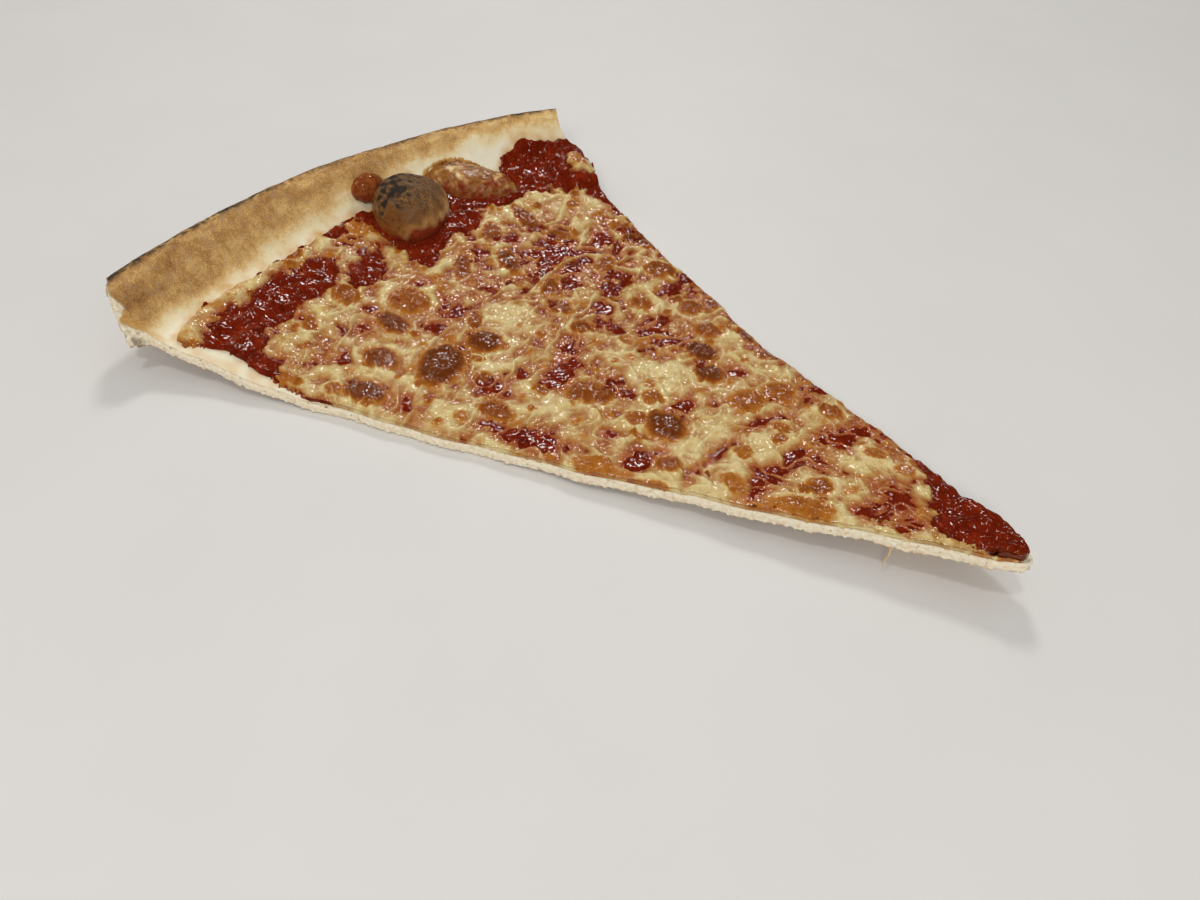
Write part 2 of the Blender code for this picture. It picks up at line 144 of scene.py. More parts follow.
PALE_PATCHES = (
    (-236.5, -20, 8, 3.2, -70, 0.8), (-234.5, -50, 8, 2.6, -80, 0.7), (-229, -70, 9, 3.6, -70, 0.8),
    (-208, -42, 7, 4, -60, 0.5), (-201, -60, 8, 5, -30, 0.35), (-187, -60, 9, 4.5, -50, 0.6),
    (-178, -50, 10, 2.6, 25, 0.8), (-150, -51, 8, 6, 20, 0.9), (-138, -27, 12, 2.4, 15, 0.8),
    (-152, -22, 5, 2, 60, 0.8), (-142, -20, 4, 1.6, 90, 0.7), (-159, -25.5, 7, 1.6, -30, 0.7),
    (-158, 20, 11, 3.4, -70, 0.8), (-169, -3, 11, 6, 10, 0.75), (-183, -3, 6, 4, 0, 0.5),
    (-196, 64, 8, 6, -20, 0.9), (-188, 53, 9, 4.5, -20, 0.75), (-148, 38, 8, 3.5, 80, 0.8),
    (-136, 36, 8, 5.5, 60, 0.8), (-126, 6, 9, 6, 20, 0.6), (-112, 3, 9, 8, 60, 1),
    (-108, -16, 8, 5, 60, 0.6), (-90, -10, 14, 5, 75, 0.85), (-101, 28, 8, 5, 0, 0.7),
    (-73, -3, 15, 4.5, 80, 0.9), (-86, -29, 7, 5, 30, 0.8), (-71, -24, 7, 4, 20, 0.6),
    (-50, -13, 10, 5, 15, 0.55), (-46, 11, 9, 6.5, -15, 1), (-30.5, 9, 8, 2.2, -60, 0.8),
    (-46, -3, 6, 5, 0, 0.7), (-30, -12, 12, 2.6, 20, 0.6), ISLAND, (-205, 5, 14, 2.6, -70, 0.6),
    (-199, -8, 12, 2.2, -55, 0.7), (-118, -28, 9, 6, 20, 0.5), (-210, 34, 9, 3, 80, 0.5),
    (-203, 50, 7, 4, 70, 0.6), (-168, 14, 9, 2.2, -60, 0.6), (-140, 8, 9, 2.2, 20, 0.5),
    (-90, 30, 7, 3.5, -20, 0.5), (-133, -32, 7, 2, 40, 0.6), (-215, -8, 7, 3, -30, 0.4),
    (-210, 52, 6, 3.4, 40, 0.9), (-203, 60, 5, 3, 30, 0.8),
)
TOASTED_SPOTS = (
    (-208, -50.5, 3, 2.6, 0, 0.55), (-238.5, -34.5, 5.2, 3.8, 80, 0.62), (-212, -33, 5, 4, 0, 0.55),
    (-197, -20, 7.5, 6, 0, 0.52), (-192, -31, 5.6, 4.2, -10, 0.85), (-182, -45, 6, 4.6, 0, 0.75),
    (-173.5, -58, 6.6, 4.6, 15, 0.88), (-166.5, -35, 9.5, 6.5, -60, 1), (-165, -18, 5.6, 4.8, 0, 0.95),
    (-140, -38.5, 5.5, 3.4, 10, 0.62), (-126.5, -16, 5, 5.6, 0, 0.6), (-109, -5.5, 3.6, 3, 0, 0.5),
    (-107, -15.5, 3.4, 2.8, 0, 0.5), (-98.5, -13, 6.6, 5.4, -30, 0.9), (-111.5, 22.5, 5.2, 4, 0, 1),
    (-103, 14.5, 4.8, 4.2, 0, 0.85), (-88.5, -25, 3.6, 3.4, 0, 0.55), (-73, 6.5, 3, 2.6, 0, 0.45),
    (-75, -9, 3.4, 2.6, 0, 0.42), (-71.5, -20, 4, 3, 0, 0.4), (-52.5, -8, 3.6, 3.4, 0, 0.58),
    (-66, 21.5, 4.4, 3, 0, 0.5), (-116, 33, 5, 3.8, 0, 0.6), (-148.5, 51, 5.6, 4.2, 0, 0.65),
    (-168, 61.5, 9, 4, -15, 0.72), (-128, 40, 4.2, 3.8, 0, 0.6), (-124, 47, 3.6, 2.6, -30, 0.7),
    (-106, 38.5, 4.2, 1.8, -20, 0.8), (-95, 34, 3.4, 3.2, 0, 0.6), (-82, 20, 5, 5, 0, 0.5),
    (-87, 11, 6, 5, 60, 0.5), (-190, 19, 7, 3.4, -30, 0.8), (-202, 41, 8, 3, -10, 0.72),
    (-188, 43, 4, 4.5, 0, 0.6), (-177, 62, 3.6, 2.6, 0, 0.5), (-160, 11.5, 4.4, 3.4, 0, 0.66),
    (-147.5, 8, 3.6, 3.4, 0, 0.66), (-199, 6, 7, 2.6, -50, 0.7), (-170, 18, 6, 2.6, -60, 0.6),
    (-205, 26, 5, 3.4, -60, 0.6), (-165, 41, 5, 3, -60, 0.6), (-141, 31, 4.4, 3.6, 0, 0.55),
    (-209, 62, 5, 2.2, -50, 0.62), (-180, 12, 3.6, 3, 0, 0.5), (-153, -30.5, 3, 2.6, 0, 0.6),
    (-121, -13, 3.2, 3.8, 0, 0.72), (-133, 12, 3, 2.6, 0, 0.4), (-47, 12, 3.6, 2.8, 0, 0.4),
    (-38, 11, 3.2, 2.4, 0, 0.42), (-36, 15.5, 3.6, 1.8, -25, 0.52), (-227, -79, 8, 3.4, -35, 0.20),
    (-233, -59, 5, 3, -75, 0.22), (-194, -69.5, 5, 2.4, 15, 0.45), (-181, -63.5, 3, 2.6, 0, 0.45),
    (-88, -35, 6, 2.4, 25, 0.42), (-104, -38, 7, 3.4, 20, 0.4), (-52, -17, 9, 3.6, 20, 0.42),
    (-175, -12, 4.6, 2.4, -40, 0.6), (-207, 76, 4.4, 3.2, 0, 0.42), (-137, 52.5, 4, 1.8, -20, 0.5),
    (-232, -4, 9, 5, 40, 0.42), (-35, -9.5, 1, 0.7, 20, 1.3), (-78, -22, 0.9, 0.6, -30, 1.2),
)

# The crease in the crust's skin near the torn end
CREASE = ((-240.5, -76), (-239.4, -81), (-238.4, -85.5), (-237.2, -90))
CREASE_DEPTH = 0.35
CREASE_HALF_WIDTH = 0.38

# The burnt lower corner of the torn end
BURNT_CORNER = ((-235.4, -94.0), (-230.5, -90.0))

# The thread of dough that hangs below the front cut
THREAD = (
    (-29.2, -10.8, 8.6), (-29, -12, 7.4), (-28.7, -12.7, 5.8), (-29.3, -13.3, 4.4), (-29, -14.1, 3.2),
)
THREAD_RADII = (0.55, 0.34, 0.26, 0.22, 0.12)
THREAD_MASKS = {"bake": 0.55, "crumb": 0.5, "oil": 0.3}

# The lump of sauce at the far cut: centre, half sizes, height, and how far it hangs past the cut
LUMP_CENTRE = (-208.5, 73.5)
LUMP_HALF = (12.5, 9.0)
LUMP_HEIGHT = 4.3
LUMP_PAST_CUT = 2.9

# The bead of dough coated with sauce beside the big bubble: centre, half sizes
BEAD_PLACE = (-243.0, 4.6, 18.4)
BEAD_HALF = (5.3, 6.2, 5.0)

# Spacing of the surfaces' points
CHEESE_STEP = 0.52
SAUCE_STEP = 0.48
RIM_STEP = 0.42
BUBBLE_STEP = 0.30
EDGE_STEP = 0.42
HIDDEN_STEP = 3.0
UNDERSIDE_STEP = 1.5
DOUGH_ROWS = 16
SAUCE_ROWS = 6
CHEESE_ROWS = 4


def smooth(value, low, high):
    """0 below low, 1 above high, and a soft step between."""
    t = np.clip((value - low) / (high - low), 0, 1)
    return t * t * (3 - 2 * t)


def noise(x, y, size, seed):
    """Gradient noise from about -1 to 1, with bumps about as wide as size."""
    table = np.random.default_rng(seed).uniform(0, 2 * math.pi, (256, 256))
    gx = x / size
    gy = y / size
    ix = np.floor(gx).astype(int)
    iy = np.floor(gy).astype(int)
    fx = gx - ix
    fy = gy - iy

    def corner(dx, dy):
        angle = table[(ix + dx) & 255, (iy + dy) & 255]
        return np.cos(angle) * (fx - dx) + np.sin(angle) * (fy - dy)

    ux = fx**3 * (fx * (fx * 6 - 15) + 10)
    uy = fy**3 * (fy * (fy * 6 - 15) + 10)
    low = corner(0, 0) * (1 - ux) + corner(1, 0) * ux
    high = corner(0, 1) * (1 - ux) + corner(1, 1) * ux
    return 1.5 * (low * (1 - uy) + high * uy)


def layered(x, y, *layers):
    """A sum of noises: each layer is its height, the size of its bumps and its seed."""
    return sum(height * noise(x, y, size, seed) for height, size, seed in layers)


def scattered(x, y, size, places):
    """For each of the nine cells round a place: the cell, and the distance of the point inside it.

    Distances are a share of the cells' size. places gives where the point lies in each cell.
    """
    count = len(places)
    gx = x / size
    gy = y / size
    for dx in (-1, 0, 1):
        for dy in (-1, 0, 1):
            ix = np.floor(gx).astype(int) + dx
            iy = np.floor(gy).astype(int) + dy
            cell = (ix % count, iy % count)
            at = places[cell]
            yield cell, np.hypot(ix + at[..., 0] - gx, iy + at[..., 1] - gy)


def cells(x, y, size, seed):
    """Distance to the nearest of scattered points, as a share of their spacing."""
    places = np.random.default_rng(seed).uniform(0.1, 0.9, (64, 64, 2))
    return np.min([away for _, away in scattered(x, y, size, places)], axis=0)


def blobs(x, y, size, seed, low=0.45, high=0.95, power=1.6):
    """Scattered round bumps, from 0 to 1 high and about as far apart as size; a low power flattens them."""
    table = np.random.default_rng(seed)
    places = table.uniform(0.05, 0.95, (64, 64, 2))
    radius = table.uniform(low, high, (64, 64))
    tall = table.uniform(0.35, 1.0, (64, 64))
    total = np.zeros(np.shape(x))
    for cell, away in scattered(x, y, size, places):
        total += tall[cell] * np.clip(1 - (away / radius[cell]) ** 2, 0, 1) ** power
    return total


def arcs(x, y):
    """Plan places as distance from the tip and length along the arc round it."""
    return np.hypot(x, y), np.arctan2(y, -x) * 150


def crest_distance(x, y):
    """How far a plan point lies inside the rim's crest line; negative outside it."""
    return CREST_RADIUS - np.hypot(x - CREST_CENTRE[0], y - CREST_CENTRE[1])


def sag(x, y):
    tip_share = np.clip(1 - np.hypot(x, y) / TIP_LIFT_FROM, 0, 1)
    rim_share = np.clip((RIM_LIFT_FROM - crest_distance(x, y)) / RIM_LIFT_SPAN, 0, None)
    return TIP_LIFT * tip_share**1.45 + RIM_LIFT * rim_share**1.5


def underside(x, y):
    """The dough's lower face, with shallow pits from the oven's floor."""
    curl = np.clip((RIM_CURL_FROM - crest_distance(x, y)) / (RIM_CURL_FROM + RIM_OVERHANG), 0, 1)
    pits = 0.22 * smooth(noise(x, y, 5, 60), 0, 0.7) + 0.12 * smooth(noise(x, y, 1.8, 61), -0.2, 0.8)
    return sag(x, y) + RIM_CURL * curl**2.2 + pits


def line_distance(x, y, points):
    """Distance of plan places from an open line of points."""
    nearest = np.full(np.shape(x), 1e9)
    for (x0, y0), (x1, y1) in zip(points, points[1:]):
        dx = x1 - x0
        dy = y1 - y0
        t = np.clip(((x - x0) * dx + (y - y0) * dy) / (dx * dx + dy * dy), 0, 1)
        nearest = np.minimum(nearest, np.hypot(x - x0 - t * dx, y - y0 - t * dy))
    return nearest


def ground(x, y):
    """The dough's upper face without its bubbles and its fine relief."""
    inside = crest_distance(x, y)
    rise = np.clip(1 - inside / RIM_FOOT, 0, 1)
    ramp = RIM_HEIGHT * (0.5 - 0.5 * np.cos(math.pi * rise))
    outer = np.clip(-inside / RIM_OVERHANG, 0, 1)
    fall = RIM_OUTER_DROP * (1 - np.sqrt(1 - outer**2))
    return sag(x, y) + DOUGH_THICK + ramp - fall


def skin_relief(x, y):
    """The unevenness of the baked skin."""
    crease = np.exp(-(line_distance(x, y, CREASE) / CREASE_HALF_WIDTH) ** 2)
    bumps = layered(x, y, (0.50, 26, 11), (0.26, 9, 12), (0.10, 3.1, 13), (0.055, 1.25, 14))
    return bumps - CREASE_DEPTH * crease


def turned(x, y, centre, turn):
    """Plan places as distances along and across a direction through a centre."""
    dx = x - centre[0]
    dy = y - centre[1]
    return dx * math.cos(turn) + dy * math.sin(turn), dy * math.cos(turn) - dx * math.sin(turn)


def in_ellipse(x, y, centre, half, turn):
    """Distance from an uneven ellipse's centre as a share of its own radius: 1 on its edge."""
    along, across = turned(x, y, centre, turn)
    angle = np.arctan2(across / half[1], along / half[0])
    return np.hypot(along / half[0], across / half[1]) / (1 + 0.05 * np.sin(3 * angle + centre[0]))


def bubble_share(x, y, bubble):
    centre, half, turn, _, _ = bubble
    return in_ellipse(x, y, centre, half, turn)


def in_patch(x, y, patch):
    """Distance from a patch's centre as a share of its own radius: 1 on its edge."""
    along, across = turned(x, y, patch[:2], math.radians(patch[4]))
    return np.hypot(along / patch[2], across / patch[3])


def patches(x, y, places, soft, uneven=1.0):
    """The strongest of several oval patches at each place, with soft and uneven edges."""
    wx = x + uneven * layered(x, y, (1.9, 7, 21), (0.9, 2.6, 22))
    wy = y + uneven * layered(x, y, (1.9, 7, 23), (0.9, 2.6, 24))
    strongest = np.zeros_like(x)
    for patch in places:
        share = in_patch(wx, wy, patch)
        strongest = np.maximum(strongest, patch[5] * smooth(1 + soft - share, 0, 2 * soft))
    return strongest


def front_cut(x):
    """Y of the front cut, with the small waves that a wheel leaves in soft dough."""
    wave = 0.35 * np.sin(x / 7.3) + 0.25 * np.sin(x / 3.1 + 1)
    return -(FRONT_TIP_HALF - FRONT_SLOPE * x) + wave


def far_cut(x):
    wave = 0.4 * np.sin(x / 6.7 + 2) + 0.3 * np.sin(x / 2.9)
    dip = sum(depth * np.exp(-(((x + at) / width) ** 2)) for at, depth, width in FAR_DIPS)
    return FAR_TIP_HALF - FAR_SLOPE * x - dip + wave


def inside_cuts(x, y):
    """How far a place lies inside the nearer of the two cuts."""
    return np.minimum(y - front_cut(x), far_cut(x) - y)


def sauce_edge(x, y):
    """How far a place lies inside the line where the sauce ends on the crust."""
    return x - np.interp(y, SAUCE_EDGE_Y, SAUCE_EDGE_X) + layered(x, y, (1, 6, 31), (0.5, 2, 32))


def cheese_edge(x, y):
    return x - np.interp(y, CHEESE_EDGE_Y, CHEESE_EDGE_X) + layered(x, y, (1.2, 7, 33), (0.5, 2.2, 34))


def bare_strip(x, y):
    """1 on the strip of bare dough along the front cut near the crust, 0 away from it."""
    width = np.interp(x, BARE_STRIP_X, BARE_STRIP_WIDTH)
    from_cut = y - front_cut(x)
    return smooth(width + 0.8 * noise(x, y, 5, 35) - from_cut, -0.6, 0.6) * (width > 0.1)


def lump_share(x, y):
    """How high a place stands on the lump of sauce: 1 in its middle."""
    return np.clip(1 - in_ellipse(x, y, LUMP_CENTRE, LUMP_HALF, 0.0) ** 2, 0, 1)


def lump_height(x, y):
    return LUMP_HEIGHT * lump_share(x, y) ** 0.6


def sauce_share(x, y):
    """1 where sauce covers the dough, 0 where the dough is bare."""
    share = smooth(sauce_edge(x, y), -0.9, 0.9) * (1 - bare_strip(x, y))
    for bubble in BUBBLES:
        share = share * smooth(bubble_share(x, y, bubble), 0.9, 1.02)
    return np.maximum(share, smooth(lump_share(x, y), 0.02, 0.2))


def strand_lines(x, y):
    """Curved ridges, 1 on their middle, where stretched shreds of cheese have melted."""
    along, across = arcs(x, y)
    bend = 3.0 * noise(x, y, 9, 46)
    return smooth(-np.abs(noise(along + bend, across / 1.7, 7.5, 44)), -0.20, -0.01)


def rings(x, y):
    """Pale rims round the toasted spots."""
    near = patches(x, y, TOASTED_SPOTS, 0.95, 0.35)
    return np.exp(-(((near - 0.17) / 0.07) ** 2))


def melted_cover(x, y):
    """The uneven cover of the melted cheese, with thick, thin and open places, before its edges."""
    along, across = arcs(x, y)
    cover = 0.46 + 0.34 * noise(along, across / 1.7, 11, 41) + 0.26 * noise(x, y, 4.6, 42)
    cover += 0.30 * blobs(x, y, 3.9, 82) + 0.14 * blobs(x, y, 2.0, 83) - 0.19 + 0.08 * noise(x, y, 1.2, 45)
    mottled = smooth(-x, 112, 135) * smooth(x, -208, -192) * smooth(y, -2, 14)
    cover -= 0.18 * mottled
    cover += 0.45 * patches(x, y, PALE_PATCHES, 0.60)
    front_band = smooth(front_cut(x) - y, -7.0, -2.0) * smooth(x, -192, -176) * smooth(-x, 55, 70)
    cover += 0.24 * front_band
    thinned = np.clip(patches(x, y, THIN_PATCHES, 0.65), 0, 1)
    cover = cover * (1 - thinned) + THIN_COVER * thinned
    cover -= patches(x, y, OPEN_PATCHES, 0.75)
    wet = smooth(cover, -0.15, 0.2)
    cover += (0.34 + 0.26 * mottled) * strand_lines(x, y) * wet * smooth(noise(x, y, 13, 48), -0.5, 0.3)
    return cover + 0.24 * rings(x, y) * wet


def cheese_cover(x, y):
    """How thick the cheese is: 1 where it is thick, below 0 where there is only sauce.

    It leaves the tip, the crust, the bare strip and the bubbles open, and has an island on the lump.
    """
    cover = melted_cover(x, y)
    strip = y - front_cut(x) - 2.2 * smooth(-x, 5, 14)
    ragged = x + 0.75 * y + layered(x, y, (3.5, 6, 57), (1.5, 2.4, 58))
    cover -= 1.7 * smooth(ragged, -27.0, -19.5) * smooth(strip, 0.0, 1.8)
    beyond = smooth(-cheese_edge(x, y), -1.5, 1.0)
    island = patches(x, y, (ISLAND,), 0.3)
    past_bubble = smooth(y, 12, 20) * (0.85 + 0.7 * noise(x, y, 4, 49))
    cover -= (1.8 - 1.4 * np.clip(past_bubble, 0, 1)) * beyond * (1 - np.clip(island, 0, 1))
    cover += 1.2 * island
    cover -= 1.6 * bare_strip(x, y)
    for bubble in BUBBLES:
        cover -= 1.5 * smooth(-bubble_share(x, y, bubble), -1.12, -1.0)
    return cover


def small_spots(x, y):
    """Small round toasted spots between the placed ones, from 0 to 1."""
    wx = x + 0.7 * noise(x, y, 3, 56)
    small = blobs(wx, y, 8.5, 51, 0.18, 0.34, 0.5) * smooth(noise(x, y, 16, 52), -0.4, 0.1)
    tiny = blobs(wx, y, 4.4, 54, 0.20, 0.38, 0.6) * smooth(noise(x, y, 11, 55), -0.2, 0.3)
    return np.clip(np.maximum(small, 0.35 * tiny), 0, 1)


def toast(x, y):
    """How brown the cheese is, from 0 to 1: the placed blisters and small scattered spots."""
    brown = np.maximum(patches(x, y, TOASTED_SPOTS, 0.38, 0.35), 0.62 * small_spots(x, y))
    return np.clip(brown + 0.12 * noise(x, y, 3, 53) * (brown > 0.05), 0, 1)


def sauce_top(x, y):
    """The sauce's surface: pulpy where it lies open, level under the cheese, below the dough beyond it."""
    open_share = smooth(0.35 - cheese_cover(x, y), 0, 0.5)
    pulp = 0.56 * blobs(x, y, 3.3, 71) + 0.24 * blobs(x, y, 1.7, 72) - 0.36
    chunks = 1.3 * blobs(x, y, 4.6, 78) * smooth(x, -32, -22)
    thick = SAUCE_THICK + open_share * (SAUCE_OPEN_EXTRA + pulp + chunks + 0.3 * smooth(x, -24, -12))
    thick += open_share * 0.9 * blobs(x, y, 5.2, 79) * smooth(-x, 196, 204)
    share = sauce_share(x, y)
    return ground(x, y) + share * (thick + lump_height(x, y)) - BELOW * (1 - share)


def blisters(x, y):
    """Height of the domes that the toasted spots stand on."""
    domes = np.zeros_like(x)
    for spot in TOASTED_SPOTS:
        share = in_patch(x, y, spot) / BLISTER_SPREAD
        tall = (0.35 + 1.15 * spot[5]) * min(1.0, spot[3] / 4.0)
        domes = np.maximum(domes, tall * np.clip(1 - share**2, 0, 1) ** 0.75)
    return np.maximum(domes, 0.6 * small_spots(x, y))


def cheese_top(x, y):
    """The melted cheese: strands along arcs, blisters, and small bumps all over."""
    cover = cheese_cover(x, y)
    along, across = arcs(x, y)
    fine = 0.30 * blobs(x, y, 3.9, 82) + 0.18 * blobs(x, y, 2.0, 83)
    thick = CHEESE_THICK * np.clip(cover, -0.5, 1.15) - 0.6 * fine
    ridges = 0.24 * (1 - 2 * np.abs(noise(along, across / 2.2, 4.5, 81)))
    bumps = 0.12 * blobs(x, y, 2.0, 83) + 0.12 * noise(x, y, 1.2, 87) - 0.1
    relief = ridges + bumps + 0.30 * strand_lines(x, y) + blisters(x, y)
    edge = 0.35 + 0.65 * smooth(inside_cuts(x, y), 0.2, 2.4)
    height = CHEESE_SEAT + edge * (thick + smooth(cover, -0.1, 0.2) * relief) + lump_height(x, y)
    share = sauce_share(x, y) * smooth(cover, -0.40, -0.15)
    return ground(x, y) + share * height - BELOW * (1 - share)


def hex_points(loop, step, seed):
    """Even points inside a closed loop, slightly jittered, so that no rows show."""
    x0, y0 = loop.T
    x1, y1 = np.roll(loop, -1, axis=0).T
    rows = []
    for i, y in enumerate(np.arange(y0.min() + step / 3, y0.max(), step * 0.866)):
        crosses = (y0 > y) != (y1 > y)
        share = (y - y0[crosses]) / (y1[crosses] - y0[crosses])
        at = np.sort(x0[crosses] + share * (x1[crosses] - x0[crosses]))
        x = np.arange(x0.min() + (i % 2) * step / 2, x0.max(), step)
        x = x[np.searchsorted(at, x) % 2 == 1]
        rows.append(np.column_stack([x, np.full(len(x), y)]))
    points = np.vstack(rows)
    return points + np.random.default_rng(seed).uniform(-0.16 * step, 0.16 * step, points.shape)


def finder(points):
    """A tree that finds the nearest of some plan points."""
    tree = KDTree(len(points))
    for i, (x, y) in enumerate(points):
        tree.insert((x, y, 0), i)
    tree.balance()
    return tree


def clear_of(points, others, apart):
    """The points that are at least a distance away from all the others."""
    tree = finder(others)
    far = [tree.find((x, y, 0))[2] > apart for x, y in points]
    return points[np.array(far, bool)]


def filled(loop, zones):
    """Points inside a loop: zones are (step, which places), finest first."""
    kept = np.zeros((0, 2))
    for i, (step, where) in enumerate(zones):
        points = hex_points(loop, step, 90 + i)
        if where is not None:
            points = points[where(points[:, 0], points[:, 1])]
        points = clear_of(points, loop, 0.5 * min(step, 1.4))
        if len(kept) and len(points):
            points = clear_of(points, kept, 0.6 * step)
        kept = np.vstack([kept, points])
    return kept


def triangles(loop, points):
    """Triangles inside a loop, as rows of three indices into the loop's points and then the others."""
    plan = [Vector(p) for p in np.vstack([loop, points])]
    made = delaunay_2d_cdt(plan, [], [list(range(len(loop)))], 1, 1e-5)
    tree = finder(loop)
    place = [first[0] if first else tree.find((*at, 0))[1] for at, first in zip(made[0], made[3])]
    faces = np.array(place)[np.array(made[2])]
    whole = (faces[:, 0] != faces[:, 1]) & (faces[:, 1] != faces[:, 2]) & (faces[:, 2] != faces[:, 0])
    return faces[whole]


def closed_line(parts, step):
    """One closed loop through several rows of plan points, resampled at an even step."""
    line = np.vstack([*parts, parts[0][:1]])
    length = np.append(0, np.cumsum(np.hypot(*np.diff(line, axis=0).T)))
    at = np.linspace(0, length[-1], int(length[-1] / step), endpoint=False)
    return np.column_stack([np.interp(at, length, line[:, 0]), np.interp(at, length, line[:, 1])])


def normals(loop):
    """Unit vectors that point out of a loop that runs either way round."""
    ahead = np.roll(loop, -3, axis=0) - np.roll(loop, 3, axis=0)
    out = np.column_stack([ahead[:, 1], -ahead[:, 0]])
    out /= np.hypot(*out.T)[:, None]
    area = (loop[:, 0] * np.roll(loop[:, 1], -1) - loop[:, 1] * np.roll(loop[:, 0], -1)).sum()
    return out if area > 0 else -out


def solid(loop, zones, low_step, top, bottom, rows, bulge):
    """A closed skin: an upper and a lower face over a loop, with rows of points down its side.

    zones space the upper face's points. bulge gives how far each side point stands out. Returns the
    points, the faces, and each point's share of the way down: 0 on the top, 1 at the side's foot and
    2 on the lower face.
    """
    upper = filled(loop, zones)
    lower = filled(loop, [(low_step, None)])
    count = len(loop)
    round_place = np.arange(count) * np.hypot(*(loop[1] - loop[0]))
    out = normals(loop)
    top_xy = np.vstack([loop, upper])
    points = [np.column_stack([top_xy, top(*top_xy.T)])]
    down = [np.zeros(len(top_xy))]
    rim_top = top(*loop.T)
    rim_bottom = np.minimum(bottom(*loop.T), rim_top - 0.05)
    side_rows = [np.arange(count)]
    start = len(top_xy)
    for row in range(1, rows + 1):
        share = row / rows
        height = rim_top + (rim_bottom - rim_top) * share
        xy = loop + out * bulge(loop, round_place, height, share)[:, None]
        if row == rows:
            low_loop = xy
            height = rim_bottom
        points.append(np.column_stack([xy, height]))
        down.append(np.full(count, share))
        side_rows.append(start + np.arange(count))
        start += count
    points.append(np.column_stack([lower, bottom(*lower.T)]))
    down.append(np.full(len(lower), 2.0))

    faces = [triangles(loop, upper)]
    for above, below in zip(side_rows, side_rows[1:]):
        ahead = np.roll(above, -1)
        below_ahead = np.roll(below, -1)
        faces += [np.column_stack([above, below, ahead]), np.column_stack([ahead, below, below_ahead])]
    low_index = np.append(side_rows[-1], start + np.arange(len(lower)))
    faces.append(low_index[triangles(low_loop, lower)][:, ::-1])
    return np.vstack(points), np.vstack(faces), np.concatenate(down)


def add_mesh(name, points, faces, masks, material, replaced):
    """Makes a piece from points in the tip frame and gives it its masks and its finish."""
    mesh = bpy.data.meshes.new(name)
    place = (points + (*TIP_PLACE, 0)) * MM
    mesh.from_pydata(place.tolist(), [], faces.tolist())
    mesh.update()
    for mask, values in masks.items():
        attribute = mesh.attributes.new(mask, "FLOAT", "POINT")
        attribute.data.foreach_set("value", values.astype(np.float32))
    mesh.shade_smooth()
    mesh.materials.append(material)
    piece = bpy.data.objects.new(name, mesh)
    bpy.context.scene.collection.objects.link(piece)
    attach(piece, "root")
    if replaced:
        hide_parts(replaced)
    print(name, len(points), "points", len(faces), "faces")
    return piece


def cut_line(cut, start, end, inset):
    """Points on a cut between two X values, moved towards the slice's middle."""
    x = np.linspace(start, end, int(abs(end - start) / 0.5))
    y = cut(x)
    return np.column_stack([x, y - np.sign(cut(-100.0)) * inset])


def rim_line(inside):
    angle = np.linspace(-RIM_HALF_ANGLE, RIM_HALF_ANGLE, 700)
    arm = (CREST_RADIUS - inside) * np.column_stack([-np.cos(angle), np.sin(angle)])
    return arm + CREST_CENTRE


def between(points, at):
    """Places along a row of points, where at counts the points from 0."""
    return np.column_stack([np.interp(at, range(len(points)), values) for values in zip(*points)])


def torn_line():
    """The torn end of the crust, with a ragged edge between its main points."""
    at = np.linspace(0, len(TORN_END) - 1, 60)
    rag = layered(at * 2.0, at * 0, (0.7, 1.1, 5), (0.35, 0.5, 6))
    return between(TORN_END, at) + np.column_stack([0.5 * rag, rag])


def dough_loop():
    torn = torn_line()
    tip = np.array(BLUNT_TIP, float)
    outer = rim_line(-RIM_OVERHANG)
    outer = outer[(outer[:, 1] > torn[-1, 1] + 0.8) & (outer[:, 1] < far_cut(outer[:, 0]))]
    front = cut_line(front_cut, tip[-1, 0] - 1.2, torn[0, 0] + 0.6, 0)
    far = cut_line(far_cut, outer[-1, 0] + 0.6, tip[0, 0] - 1.0, 0)
    return closed_line([front, torn, outer, far, tip], EDGE_STEP)


def side_is_cut(loop):
    """1 where the dough's side is a cut or a tear, 0 where it is the crust's outer skin."""
    from_outside = crest_distance(*loop.T) + RIM_OVERHANG
    torn = smooth(-loop[:, 1], 86.5, 88.5) * (loop[:, 0] > -244.4)
    return np.maximum(smooth(from_outside, 0.15, 0.6), torn)


def dough_bulge(loop, along, height, share):
    """How far the side stands out: porous and frayed where cut, rounded on the crust's outside."""
    cut = side_is_cut(loop)
    torn = smooth(-loop[:, 1], 85, 88) * cut
    crumb = (0.14 + 0.34 * torn) * noise(along, height, 1.5, 15) + 0.10 * noise(along, height, 0.7, 16)
    pores = (0.30 + 0.7 * torn) * smooth(0.26 - cells(along, height * 1.3, 2.9, 17), 0, 0.16)
    fray = smooth(share, 0.70, 1.0) * (0.02 + 0.55 * smooth(noise(along, height, 1.1, 18), 0.0, 0.6))
    pressed = 0.30 * math.sin(math.pi * share) * smooth(share, 0, 0.2)
    body = smooth(share, 0, 0.12)
    skin = 1.5 * math.sin(math.pi * share) ** 0.8 + 0.12 * noise(along, height, 4, 19)
    return cut * body * (crumb - pores + fray + pressed) + (1 - cut) * skin * smooth(share, 0, 0.05)


